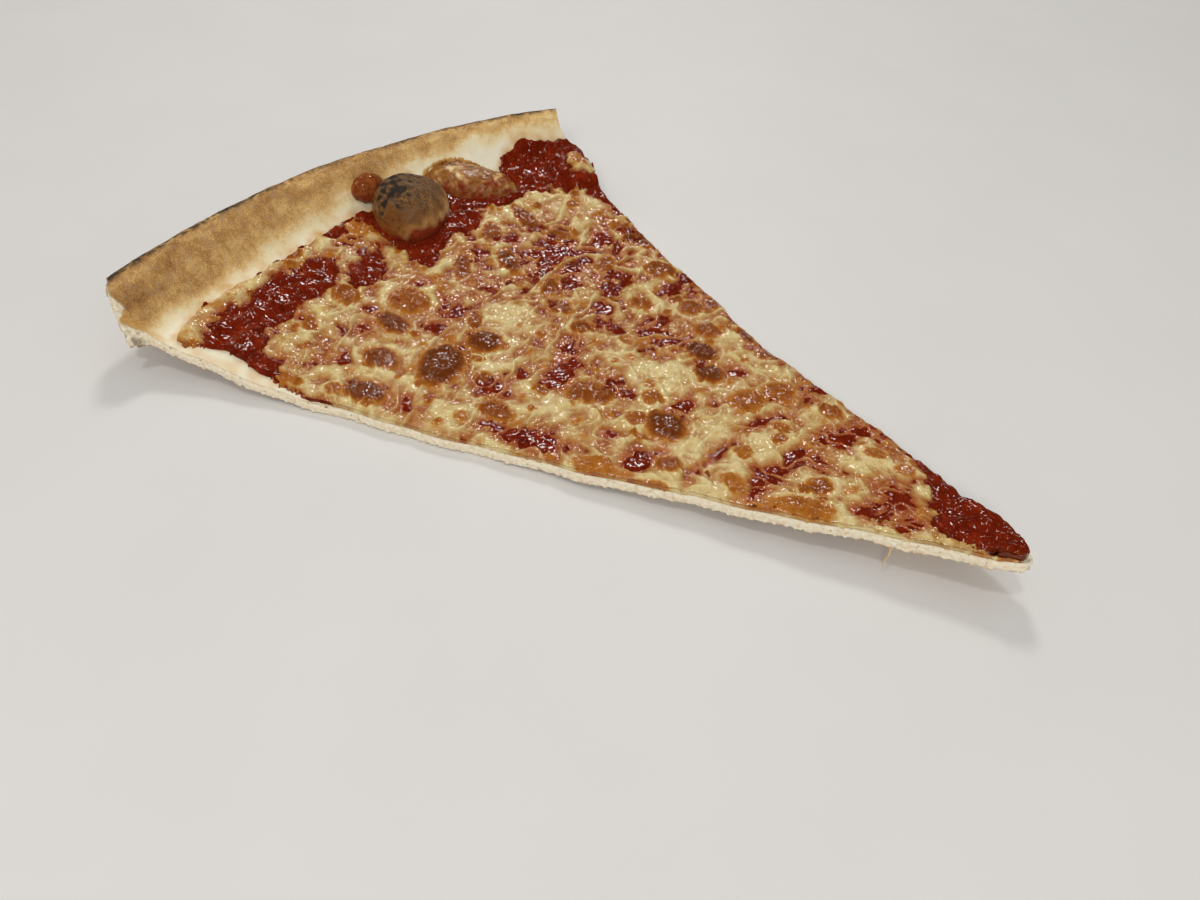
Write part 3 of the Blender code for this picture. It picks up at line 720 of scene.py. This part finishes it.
def raise_bubbles(points):
    """Turns the plan discs of the bubbles into round, bulging skins."""
    x, y, z = points.T.copy()
    for bubble in BUBBLES:
        centre, half, turn, tall, swell = bubble
        share = bubble_share(x, y, bubble)
        inside = share < 1
        angle = share[inside] * swell
        folds = layered(x[inside], y[inside], (0.035, 6.5, 25), (0.016, 2.2, 26), (0.010, 0.8, 27))
        lumpy = 1.0 if bubble is BIG_BUBBLE else 2.0
        rough = 1 + lumpy * folds * (1 - smooth(share[inside], 0.62, 0.95))
        spread = np.sin(angle) / (math.sin(swell) * np.maximum(share[inside], 1e-6)) * rough
        rise = (np.cos(angle) - math.cos(swell)) / (1 - math.cos(swell))
        x[inside] = centre[0] + (x[inside] - centre[0]) * spread
        y[inside] = centre[1] + (y[inside] - centre[1]) * spread
        z[inside] += tall * rise * rough
    return np.column_stack([x, y, z])


def dough_top(x, y):
    return ground(x, y) + skin_relief(x, y) * (1 - 0.8 * sauce_share(x, y))


def shown_dough(x, y):
    return (sauce_share(x, y) < 0.97) | (crest_distance(x, y) < 9)


def near_bubble(x, y):
    return np.any([bubble_share(x, y, bubble) < 1.04 for bubble in BUBBLES], axis=0)


def crust_places(x, y, z):
    """Distances along the crust, and over its rim from the foot to the outer side."""
    along = np.arctan2(y - CREST_CENTRE[1], CREST_CENTRE[0] - x) * CREST_RADIUS
    return along, 2.2 * crest_distance(x, y) + 0.9 * z


def dough_bake(x, y, z, down, side, low):
    """How brown the skin is, from about 0 to 1: on the top, on the crust's outer side and below."""
    out = -crest_distance(x, y)
    along, over = crust_places(x, y, z)
    mottle = 0.15 * noise(along / 1.8, over, 5, 102) + 0.08 * noise(along / 1.4, over, 2, 139)
    mottle += 0.07 * noise(x, y, 20, 103)
    wide = 5.0 * smooth(-y, -40, 60) - 1.5 * smooth(y, 30, 70) + 1.6 * noise(along / 2, -out, 7, 144)
    top = 0.03 + 0.49 * smooth(out, -12 - wide, -1 - wide) + 0.26 * smooth(out, -0.5, 3.2)
    top -= 0.10 * smooth(y, 0, 50)
    top += mottle * (0.10 + 0.90 * smooth(out, -13 - wide, -3 - wide))
    # The skin is coloured darker in a band along the crease, wider than its groove.
    crease = np.exp(-(line_distance(x, y, CREASE) / 0.7) ** 2)
    top = np.clip(top, 0, 1) + 0.14 * crease
    sides = 0.74 - 0.18 * down + 0.20 * noise(along, z * 1.3, 7, 104) + 0.14 * noise(along, z, 2.6, 134)
    under = 0.50 + layered(x, y, (0.30, 6, 105), (0.25, 19, 106)) + 0.12 * smooth(out, -20, 0)
    return np.select([side, low], [sides, under], top)


def dough_char(x, y, z, down, side, low, cut):
    """How burnt the skin is, from 0 to 1."""
    out = -crest_distance(x, y)
    along, over = crust_places(x, y, z)
    ends = np.clip(smooth(-y, 5, 50) + 0.8 * smooth(y, 55, 75), 0, 1)
    uneven = noise(along, over, 2.2, 107) + 0.7 * noise(along / 1.5, over, 8, 108)
    top = smooth(out, -1.9, 0.6) * smooth(uneven, -0.8, 0.3) * (1 - 0.75 * smooth(out, 0.8, 3.0))
    top *= 0.58 + 0.26 * ends
    under = 0.8 * smooth(layered(x, y, (1, 4.5, 109), (0.5, 1.6, 110)), 0.35, 0.9)
    sides = noise(along, z * 1.2, 12, 111) + 0.5 * noise(along, z, 3, 135) + 0.25 - down
    char = np.select([low, side & (cut < 0.3)], [under, 0.50 * smooth(sides, 0.0, 0.9)], top)
    corner = np.exp(-(line_distance(x, y, BURNT_CORNER) / 1.2) ** 2) * smooth(down, 0.3, 0.7)
    bits = 0.55 * corner * smooth(noise(x, y, 1.5, 141), -0.4, 0.2)
    return np.where(side, np.maximum(char, bits), char)


def dough_oil(x, y):
    """The oil's stain on the dough's top: at the crust's foot, by the lump and on the bare strip."""
    foot = smooth(sauce_edge(x, y) + 2.0 * noise(x, y, 6, 120), -4.0, -0.6) * (x < -190)
    oil = np.clip(foot + 0.5 * smooth(lump_share(x, y), 0, 0.1), 0, 1) * (0.7 + 0.5 * noise(x, y, 3, 112))
    bare = bare_strip(x, y)
    return oil * (1 - bare) + bare * np.clip(0.25 + 0.6 * noise(x, y, 5, 121), 0, 0.5)


def paint_big_bubble(masks, x, y, down):
    """Scorched on top and at the left, glazed low down and red at its front foot."""
    centre, _, _, _, swell = BIG_BUBBLE
    share = np.where(down > 0, 9.0, bubble_share(x, y, BIG_BUBBLE))
    on = smooth(1.04 - share, 0, 0.05)
    tilt = np.clip(share, 0, 1) * swell
    up = np.cos(tilt)
    angle = np.arctan2(y - centre[1], x - centre[0])
    left = -np.sin(tilt) * (0.63 * np.cos(angle) + 0.777 * np.sin(angle))
    scorch = smooth(up + 0.25 * left + 0.22 * noise(x, y, 2.4, 113), -0.15, 0.50)
    soot = smooth(up + 0.7 * left + layered(x, y, (0.5, 3.2, 114), (0.9, 1.0, 115)), 0.75, 1.75)
    masks["bake"] += on * (0.20 + 0.62 * scorch - masks["bake"])
    masks["char"] += on * (0.34 * scorch + 0.66 * soot - masks["char"])
    masks["oil"] = np.where(on > 0, 0.45 * smooth(-up, -0.45, 0.1), masks["oil"])
    red_foot = smooth(0.45 * noise(x, y, 3.2, 119) - up, -0.30, 0.10) * smooth(x, -230, -222)
    masks["smear"] = np.maximum(masks["smear"], on * red_foot)
    low_down = smooth(0.25 * noise(x, y, 3, 126) - up, -0.85, -0.40)
    strong = 0.45 + 0.55 * smooth(left + 0.3 * noise(x, y, 4, 136), -0.25, 0.45)
    masks["glaze"] = np.maximum(masks["glaze"], 0.95 * on * low_down * strong)


def paint_long_bubble(masks, x, y, down):
    """Burnt along its crest, glazed, and smeared with sauce on its front and its far end."""
    centre, half, _, _, _ = LONG_BUBBLE
    share = np.where(down > 0, 9.0, bubble_share(x, y, LONG_BUBBLE))
    on = smooth(1.04 - share, 0, 0.05)
    towards = (0.66 * (x - centre[0]) - 0.75 * (y - centre[1])) / half[0]
    sideways = (0.75 * (x - centre[0]) + 0.66 * (y - centre[1])) / half[1]
    broken = layered(x, y, (1, 2.2, 116), (0.5, 0.9, 122))
    burnt = np.exp(-((towards + 0.42 + 0.12 * broken) / 0.16) ** 2) * smooth(broken, -0.1, 0.4)
    burnt = np.maximum(masks["char"] * (1 - on), 0.75 * burnt * (np.abs(sideways) < 0.75))
    flesh = 0.46 + layered(x, y, (0.55, 3.2, 117), (0.25, 1.2, 124)) + 0.3 * smooth(-towards, 0.3, 0.8)
    oil = np.clip(0.40 + 0.45 * smooth(share, 0.3, 1.0) + 0.7 * noise(x, y, 4, 125), 0, 1)
    for name, values in (("bake", flesh), ("char", burnt), ("oil", oil)):
        masks[name] = np.where(on > 0, values, masks[name])
    front_and_end = np.maximum(towards - 0.30, 1.2 * (sideways - 0.50))
    smeared = layered(x, y, (1, 3.6, 118), (0.6, 1.4, 123))
    smear = (0.45 + 0.55 * smooth(smeared, 0.0, 0.4)) * smooth(smeared + 2.4 * front_and_end, -0.15, 0.35)
    specks = 0.9 * smooth(layered(x, y, (1, 1.1, 137), (0.8, 4.0, 138)), 0.35, 0.7)
    masks["smear"] = np.maximum(masks["smear"], on * np.maximum(smear, specks))
    glazed = smooth(layered(x, y, (1, 5, 127), (0.7, 1.8, 128)) + 0.35 * towards, -0.80, 0.0)
    masks["glaze"] = np.maximum(masks["glaze"], 0.95 * on * glazed)


def make_dough(material):
    loop = dough_loop()
    zones = [(BUBBLE_STEP, near_bubble), (RIM_STEP, shown_dough), (HIDDEN_STEP, None)]
    points, faces, down = solid(loop, zones, UNDERSIDE_STEP, dough_top, underside, DOUGH_ROWS, dough_bulge)
    x, y, z = points.T
    low = down > 1.5
    side = (down > 0) & ~low
    side_cut = side_is_cut(loop)
    cut = np.zeros(len(points))
    cut[:len(loop)] = 0.6 * side_cut
    cut[side] = np.tile(side_cut, DOUGH_ROWS)
    cut *= 1 - 0.75 * smooth(down, 0.86, 1.0)
    masks = {
        "bake": dough_bake(x, y, z, down, side, low), "char": dough_char(x, y, z, down, side, low, cut),
        "crumb": cut, "oil": np.where(down > 0, 0.0, dough_oil(x, y)), "smear": 0 * x, "glaze": 0 * x,
    }
    paint_big_bubble(masks, x, y, down)
    paint_long_bubble(masks, x, y, down)
    masks["bake"] = np.clip(masks["bake"], 0, 1)
    masks["char"] = np.clip(masks["char"], 0, 1)
    points[down == 0] = raise_bubbles(points[down == 0])
    return add_mesh("dough_baked", points, faces, masks, material, "dough")


def make_thread(material):
    """A closed, tapered strand through the thread's places, with six sides."""
    at = np.linspace(0, len(THREAD) - 1, 25)
    line = between(THREAD, at)
    line[:, 0] += 0.25 * noise(at, at * 0, 1.3, 142)
    line[:, 1] += 0.25 * noise(at, at * 0, 1.1, 143)
    radius = np.interp(at, range(len(THREAD)), THREAD_RADII)
    turn = np.arange(6) * math.pi / 3
    ring = np.column_stack([np.cos(turn), np.sin(turn), 0 * turn])
    points = (line[:, None, :] + radius[:, None, None] * ring).reshape(-1, 3)
    points = np.vstack([points, line[:1], line[-1:]])
    a = np.arange(6)
    b = (a + 1) % 6
    faces = []
    for row in range(0, 6 * (len(line) - 1), 6):
        faces += [np.column_stack([row + a, row + b, row + a + 6])]
        faces += [np.column_stack([row + b, row + b + 6, row + a + 6])]
    end = np.full(6, len(points) - 1)
    faces += [np.column_stack([b, a, end - 1]), np.column_stack([row + 6 + a, row + 6 + b, end])]
    masks = {name: np.full(len(points), value) for name, value in THREAD_MASKS.items()}
    return add_mesh("dough_thread", points, np.vstack(faces), masks, material, None)


def topping_loop(inset, past_crust):
    """The outline of a topping: inside the cuts, past the far cut at the lump, and onto the crust."""
    tip = np.array(BLUNT_TIP, float) * (0.97, 0.9) - (0.8 + 0.6 * inset, 0)
    y = np.linspace(-84, 82, 330)
    crust = np.column_stack([np.interp(y, SAUCE_EDGE_Y, SAUCE_EDGE_X) - past_crust, y])
    crust = crust[inside_cuts(*crust.T) > inset]
    front = cut_line(front_cut, tip[-1, 0] - 1.2, crust[0, 0] + 0.6, inset)
    far = cut_line(far_cut, crust[-1, 0] + 0.6, tip[0, 0] - 1.0, inset)
    past = LUMP_PAST_CUT * np.exp(-(((far[:, 0] - LUMP_CENTRE[0]) / 7.5) ** 4))
    far[:, 1] += past - 0.35 * noise(far[:, 0], far[:, 1], 2.2, 37) * (inset > 0.3)
    front[:, 1] += 0.35 * noise(front[:, 0], front[:, 1], 2.4, 36) * (inset > 0.3)
    return closed_line([front, crust, far, tip], EDGE_STEP)


def sauce_bottom(x, y):
    past = smooth(y - far_cut(x), -1.5, 0.5) * smooth(lump_share(x, y), 0.02, 0.3)
    return ground(x, y) - 1.0 - 2.4 * past


def sauce_bulge(loop, along, height, share):
    lump = smooth(lump_share(*loop.T), 0.0, 0.3)
    return (0.12 + 0.5 * lump) * math.sin(math.pi * share) + 0.12 * noise(along, height, 1.8, 74) * share


def open_sauce(x, y):
    return (cheese_cover(x, y) < 0.34) & (sauce_share(x, y) > 0.02)


def make_sauce(material):
    loop = topping_loop(SAUCE_INSET, 2.2)
    zones = [(SAUCE_STEP, open_sauce), (HIDDEN_STEP, None)]
    points, faces, _ = solid(loop, zones, HIDDEN_STEP, sauce_top, sauce_bottom, SAUCE_ROWS, sauce_bulge)
    x, y = points[:, :2].T
    dark = np.clip(0.5 + layered(x, y, (0.4, 5, 75), (0.3, 1.6, 76)), 0, 1)
    tip = smooth(x, -40, -22) * smooth(0.8 * noise(x, y, 2.4, 77) - inside_cuts(x, y), -2.4, -0.4)
    return add_mesh("sauce_layer", points, faces, {"dark": dark, "tip": tip}, material, "sauce")


def make_bead(material):
    """The small round bead beside the big bubble."""
    shape = bmesh.new()
    bmesh.ops.create_icosphere(shape, subdivisions=5, radius=1.0)
    unit = np.array([v.co[:] for v in shape.verts])
    faces = np.array([[v.index for v in f.verts] for f in shape.faces])
    shape.free()
    x, y, z = unit.T
    rough = 1 + 0.05 * noise(3 * x + z, 3 * y - z, 1.2, 131) + 0.03 * noise(6 * x - z, 6 * y + z, 1.1, 132)
    points = unit * np.array(BEAD_HALF) * rough[:, None] + BEAD_PLACE
    dark = np.clip(0.5 + 0.5 * noise(4 * x, 4 * (y + z), 1.3, 133), 0, 1)
    masks = {"dark": dark, "dry": np.clip(0.55 + 0.6 * z, 0, 0.9)}
    return add_mesh("sauce_bead", points, faces, masks, material, "sauce")


def cheese_bottom(x, y):
    return ground(x, y) - 0.6


def cheese_bulge(loop, along, height, share):
    return 0.22 * math.sin(math.pi * share) + 0.10 * noise(along, height, 1.6, 84) * share


def shown_cheese(x, y):
    return (cheese_cover(x, y) > -0.12) & (sauce_share(x, y) > 0.1)


def make_cheese(material):
    loop = topping_loop(CHEESE_INSET, 1.6)
    zones = [(CHEESE_STEP, shown_cheese), (HIDDEN_STEP, None)]
    points, faces, _ = solid(loop, zones, HIDDEN_STEP, cheese_top, cheese_bottom, CHEESE_ROWS, cheese_bulge)
    x, y = points[:, :2].T
    past_edge = -cheese_edge(x, y)
    rim = smooth(past_edge, -5, -0.5) * (x < -190)
    warm = np.clip(0.42 + layered(x, y, (0.60, 8, 85), (0.25, 3, 86)) + 0.25 * rim, 0, 1)
    warm = np.clip(warm + 0.12 * smooth(-inside_cuts(x, y), -2.5, -0.4), 0, 1)
    golden = 0.26 * smooth(past_edge, -5.0, -1.0) * (y < -4)
    near_sauce = np.maximum(patches(x, y, OPEN_PATCHES, 0.9), patches(x, y, THIN_PATCHES, 1.0))
    stain = 0.70 * smooth(near_sauce, 0.10, 0.6) * smooth(noise(x, y, 3.2, 88), -0.5, 0.3)
    masks = {
        "cover": np.clip(cheese_cover(x, y), 0, 1), "toast": np.maximum(toast(x, y), golden),
        "warm": warm, "stain": stain,
    }
    return add_mesh("cheese_melt", points, faces, masks, material, "cheese")


class Shader:
    """A material whose nodes are made one after another."""

    def __init__(self, name):
        self.material = bpy.data.materials.new(name)
        self.material.use_nodes = True
        self.tree = self.material.node_tree
        self.shader = self.tree.nodes["Principled BSDF"]
        self.place = self.node("TexCoord", "Object", {})

    def put(self, socket, value):
        """Links a socket to another one, or sets its value; a colour is given without its alpha."""
        if isinstance(value, bpy.types.NodeSocket):
            self.tree.links.new(value, socket)
        elif socket.type == "RGBA":
            socket.default_value = (*value, 1)
        else:
            socket.default_value = value

    def node(self, kind, output, inputs, **settings):
        """One output of a new node, with its settings and its inputs filled in."""
        node = self.tree.nodes.new("ShaderNode" + kind)
        for name, value in settings.items():
            setattr(node, name, value)
        for name, value in inputs.items():
            self.put(node.inputs[name], value)
        return node.outputs[output]

    def mask(self, name):
        return self.node("Attribute", "Fac", {}, attribute_name=name)

    def noise(self, size_mm, detail=3.0, rough=0.55):
        """Noise with bumps of a size in millimetres, from 0 to 1."""
        inputs = {"Vector": self.place, "Scale": 1000 / size_mm, "Detail": detail, "Roughness": rough}
        return self.node("TexNoise", "Fac", inputs)

    def cells(self, size_mm, output="Distance"):
        return self.node("TexVoronoi", output, {"Vector": self.place, "Scale": 1000 / size_mm})

    def maths(self, kind, a, b, clamp=False):
        return self.node("Math", 0, {0: a, 1: b}, operation=kind, use_clamp=clamp)

    def times(self, a, b):
        return self.maths("MULTIPLY", a, b)

    def vector(self, kind, a, b=(0.0, 0.0, 0.0)):
        return self.node("VectorMath", 0, {0: a, 1: b}, operation=kind)

    def mottled(self, name, texture, share):
        """A mask made uneven by a texture, kept from 0 to 1."""
        uneven = self.times(self.maths("SUBTRACT", texture, 0.5), share)
        return self.maths("ADD", self.mask(name), uneven, True)

    def ramp(self, value, stops):
        """A colour for each value: stops are (value, colour) in rising order."""
        node = self.tree.nodes.new("ShaderNodeValToRGB")
        elements = node.color_ramp.elements
        while len(elements) < len(stops):
            elements.new(0.5)
        for element, (at, colour) in zip(elements, stops):
            element.position = at
            element.color = (*colour, 1)
        self.put(node.inputs["Fac"], value)
        return node.outputs["Color"]

    def mix(self, factor, a, b):
        return self.node("Mix", 2, {0: factor, 6: a, 7: b}, data_type="RGBA")

    def spread(self, value, low, high):
        """The value stretched so that low gives 0 and high gives 1."""
        return self.node("MapRange", "Result", {"Value": value, "From Min": low, "From Max": high})

    def bump(self, layers, facet_mm=0.0, tilt=0.0):
        """Bumps from several heights, each (height, depth in millimetres), then small tilted facets.

        The facets stand for the fine wrinkles of wet food, which sparkle one by one.
        """
        normal = None
        for height, depth in layers:
            inputs = {"Strength": 1.0, "Distance": depth * MM, "Height": height}
            if normal:
                inputs["Normal"] = normal
            normal = self.node("Bump", "Normal", inputs)
        if tilt:
            centred = self.vector("SUBTRACT", self.cells(facet_mm, "Color"), (0.5, 0.5, 0.5))
            tilted = self.vector("MULTIPLY", centred, (2 * tilt, 2 * tilt, 2 * tilt))
            normal = self.vector("NORMALIZE", self.vector("ADD", tilted, normal))
        self.put(self.shader.inputs["Normal"], normal)

    def finish(self, colour, roughness, soft_weight, soft_radius_mm, specular):
        longest = max(soft_radius_mm)
        self.put(self.shader.inputs["Base Color"], colour)
        self.put(self.shader.inputs["Roughness"], roughness)
        self.shader.inputs["Subsurface Weight"].default_value = soft_weight
        self.shader.inputs["Subsurface Radius"].default_value = [r / longest for r in soft_radius_mm]
        self.shader.inputs["Subsurface Scale"].default_value = longest * MM
        self.shader.inputs["Specular IOR Level"].default_value = specular
        return self.material


def dough_material():
    """Baked dough: cream to golden to charred skin, pale porous crumb, oil-stained near the toppings."""
    s = Shader("baked_dough")
    fine = s.noise(1.3, 4, 0.66)
    grain = s.noise(0.45, 2, 0.6)
    contrast = s.maths("ADD", s.times(s.mask("bake"), 1.5), 0.04)
    speckle = s.maths("SUBTRACT", s.maths("ADD", s.times(fine, 0.6), s.times(grain, 0.8)), 0.7)
    bake = s.maths("ADD", s.mask("bake"), s.times(speckle, contrast), True)
    skin = s.ramp(bake, [
        (0.0, (0.97, 0.92, 0.72)), (0.14, (0.92, 0.80, 0.50)), (0.30, (0.76, 0.50, 0.19)),
        (0.50, (0.49, 0.26, 0.080)), (0.76, (0.26, 0.115, 0.032)), (1.0, (0.07, 0.032, 0.014)),
    ])
    flour = s.spread(s.noise(2.6, 5, 0.7), 0.50, 0.72)
    skin = s.mix(s.times(flour, 0.22), skin, (0.80, 0.72, 0.56))
    crumb = s.ramp(s.noise(1.3, 4, 0.7), [
        (0.30, (0.72, 0.54, 0.34)), (0.46, (0.91, 0.79, 0.58)), (0.7, (0.97, 0.90, 0.74)),
    ])
    specks = s.spread(s.cells(2.9), 0.13, 0.08)
    crumb = s.mix(s.times(specks, 0.55), crumb, (0.22, 0.12, 0.05))
    colour = s.mix(s.mask("crumb"), skin, crumb)
    colour = s.mix(s.times(s.mask("oil"), 0.85), colour, (0.72, 0.40, 0.11))
    glaze = s.ramp(fine, [(0.3, (0.17, 0.045, 0.007)), (0.7, (0.40, 0.17, 0.035))])
    colour = s.mix(s.mask("glaze"), colour, glaze)
    smear = s.ramp(fine, [(0.3, (0.14, 0.012, 0.005)), (0.7, (0.34, 0.055, 0.016))])
    colour = s.mix(s.mask("smear"), colour, smear)
    char = s.spread(s.mottled("char", fine, 0.5), 0.12, 0.85)
    colour = s.mix(char, colour, (0.030, 0.020, 0.014))
    s.bump([(s.noise(2.2, 3), 0.12), (fine, 0.10), (grain, 0.05)])
    wet = s.maths("MAXIMUM", s.mask("oil"), s.maths("MAXIMUM", s.mask("glaze"), s.mask("smear")))
    rough = s.mix(wet, (0.75, 0.75, 0.75), (0.22, 0.22, 0.22))
    return s.finish(colour, rough, 0.12, (2.0, 1.2, 0.6), 0.25)


def sauce_material():
    """Tomato sauce: deep wet red with brighter pulp and dark, dried places."""
    s = Shader("tomato_sauce")
    pulp = s.noise(2.0, 5, 0.6)
    fine = s.noise(0.7, 3, 0.6)
    shade = s.maths("ADD", s.times(s.mask("dark"), 0.5), s.times(pulp, 0.6), True)
    colour = s.ramp(shade, [
        (0.2, (0.28, 0.028, 0.006)), (0.5, (0.17, 0.013, 0.003)), (0.85, (0.09, 0.006, 0.002)),
    ])
    colour = s.mix(s.times(s.spread(fine, 0.56, 0.70), 0.40), colour, (0.42, 0.080, 0.018))
    dry = s.ramp(pulp, [(0.3, (0.13, 0.022, 0.007)), (0.65, (0.36, 0.11, 0.025))])
    colour = s.mix(s.mask("dry"), colour, dry)
    tip = s.ramp(pulp, [(0.35, (0.07, 0.012, 0.004)), (0.65, (0.20, 0.035, 0.008))])
    colour = s.mix(s.mask("tip"), colour, tip)
    s.bump([(s.noise(1.4, 1), 0.10)], 0.9, 0.10)
    return s.finish(colour, 0.09, 0.06, (1.8, 0.5, 0.25), 0.24)


def cheese_material():
    """Melted cheese: cream where thick, orange where sauce shows through, brown on the blisters."""
    s = Shader("melted_cheese")
    fine = s.noise(1.2, 4, 0.62)
    cover = s.mottled("cover", fine, 0.5)
    cream = s.ramp(cover, [
        (0.0, (0.25, 0.024, 0.006)), (0.14, (0.30, 0.050, 0.012)), (0.30, (0.38, 0.108, 0.028)),
        (0.46, (0.48, 0.215, 0.068)), (0.66, (0.59, 0.37, 0.155)), (0.95, (0.75, 0.60, 0.30)),
    ])
    yellow = s.ramp(cover, [
        (0.0, (0.24, 0.022, 0.006)), (0.30, (0.34, 0.095, 0.022)), (0.55, (0.50, 0.265, 0.070)),
        (1.0, (0.74, 0.58, 0.24)),
    ])
    colour = s.mix(s.mask("warm"), cream, yellow)
    stain = s.times(s.mask("stain"), s.spread(fine, 0.35, 0.65))
    colour = s.mix(stain, colour, (0.50, 0.135, 0.045))
    toast = s.mottled("toast", fine, 0.45)
    brown = s.ramp(toast, [
        (0.15, (0.64, 0.31, 0.050)), (0.32, (0.48, 0.175, 0.020)), (0.54, (0.31, 0.080, 0.010)),
        (0.88, (0.16, 0.036, 0.006)),
    ])
    colour = s.mix(s.spread(toast, 0.14, 0.34), colour, brown)
    s.bump([(s.noise(1.1, 2), 0.15)], 0.55, 0.20)
    return s.finish(colour, 0.12, 0.14, (2.4, 1.3, 0.6), 0.5)


def floor_material():
    s = Shader("pale_floor")
    tone = s.ramp(s.noise(60, 2), [(0.3, (0.78, 0.775, 0.76)), (0.7, (0.80, 0.795, 0.785))])
    return s.finish(tone, 0.55, 0.0, (1.0, 1.0, 1.0), 0.3)


def add_floor():
    """A large square just under the slice, in metres."""
    mesh = bpy.data.meshes.new("floor")
    half = 3.0
    corners = [(-half, -half), (half, -half), (half, half), (-half, half)]
    mesh.from_pydata([(x, y, -0.0001) for x, y in corners], [], [(0, 1, 2, 3)])
    mesh.materials.append(floor_material())
    floor = bpy.data.objects.new("floor", mesh)
    bpy.context.scene.collection.objects.link(floor)


# The camera: its place and the directions it looks along and has upwards, in the row frame
CAMERA_PLACE = (0.13776, -0.17858, 0.18942)
CAMERA_FORWARD = (-0.43701, 0.56953, -0.69617)
CAMERA_UP = (-0.46694, 0.51788, 0.71678)
LENS = 28.806


def add_camera():
    data = bpy.data.cameras.new("camera")
    data.lens = LENS
    data.sensor_width = 36
    data.clip_start = 0.01
    camera = bpy.data.objects.new("camera", data)
    bpy.context.scene.collection.objects.link(camera)
    forward = Vector(CAMERA_FORWARD).normalized()
    right = forward.cross(Vector(CAMERA_UP)).normalized()
    up = right.cross(forward)
    turn = Matrix((right, up, -forward)).transposed().to_4x4()
    camera.matrix_world = Matrix.Translation(CAMERA_PLACE) @ turn
    bpy.context.scene.camera = camera


WARM_WHITE = (1.0, 0.97, 0.93)
LIGHT_TARGET = (-0.03, 0.0, 0.01)

# Soft lights, which make no reflection: name, place in metres, size, power in watts
SOFT_LIGHTS = (
    ("overhead", (0.05, -0.35, 1.30), 0.16, 2.2), ("front_fill", (0.45, -0.85, 0.75), 0.26, 4.2),
    ("ceiling", (-0.55, 0.60, 0.95), 0.22, 3.7),
)

# Ceiling lamps, which show only as highlights on wet places: place in metres, size, power in watts
LAMPS = (
    ((-0.55, 0.67, 0.75), 0.20, 3.0), ((0.09, 0.75, 0.75), 0.13, 0.7), ((-0.89, 0.39, 0.63), 0.09, 0.42),
    ((0.55, -0.45, 0.95), 0.20, 2.0), ((-0.75, -0.35, 1.00), 0.20, 2.0),
)
WORLD_STRENGTH = 0.40


def add_light(name, place, size, power, lamp):
    """A round light that faces the slice; a lamp makes only reflections, and a soft light none."""
    data = bpy.data.lights.new(name, "AREA")
    data.shape = "DISK"
    data.size = size
    data.energy = power
    data.color = WARM_WHITE
    light = bpy.data.objects.new(name, data)
    light.location = place
    light.rotation_euler = (Vector(LIGHT_TARGET) - Vector(place)).to_track_quat("-Z", "Y").to_euler()
    light.visible_glossy = lamp
    light.visible_diffuse = not lamp
    bpy.context.scene.collection.objects.link(light)


def add_lights():
    for name, place, size, power in SOFT_LIGHTS:
        add_light(name, place, size, power, False)
    for i, (place, size, power) in enumerate(LAMPS):
        add_light(f"lamp_{i + 1}", place, size, power, True)
    world = bpy.data.worlds.new("soft_room")
    world.use_nodes = True
    background = world.node_tree.nodes["Background"]
    background.inputs["Color"].default_value = (1.0, 0.98, 0.96, 1)
    background.inputs["Strength"].default_value = WORLD_STRENGTH
    world.cycles_visibility.glossy = False
    bpy.context.scene.world = world


add_camera()
add_lights()
add_floor()
dough_look = dough_material()
make_dough(dough_look)
make_thread(dough_look)
sauce_look = sauce_material()
make_sauce(sauce_look)
make_bead(sauce_look)
make_cheese(cheese_material())
bpy.context.scene.view_settings.view_transform = "Standard"
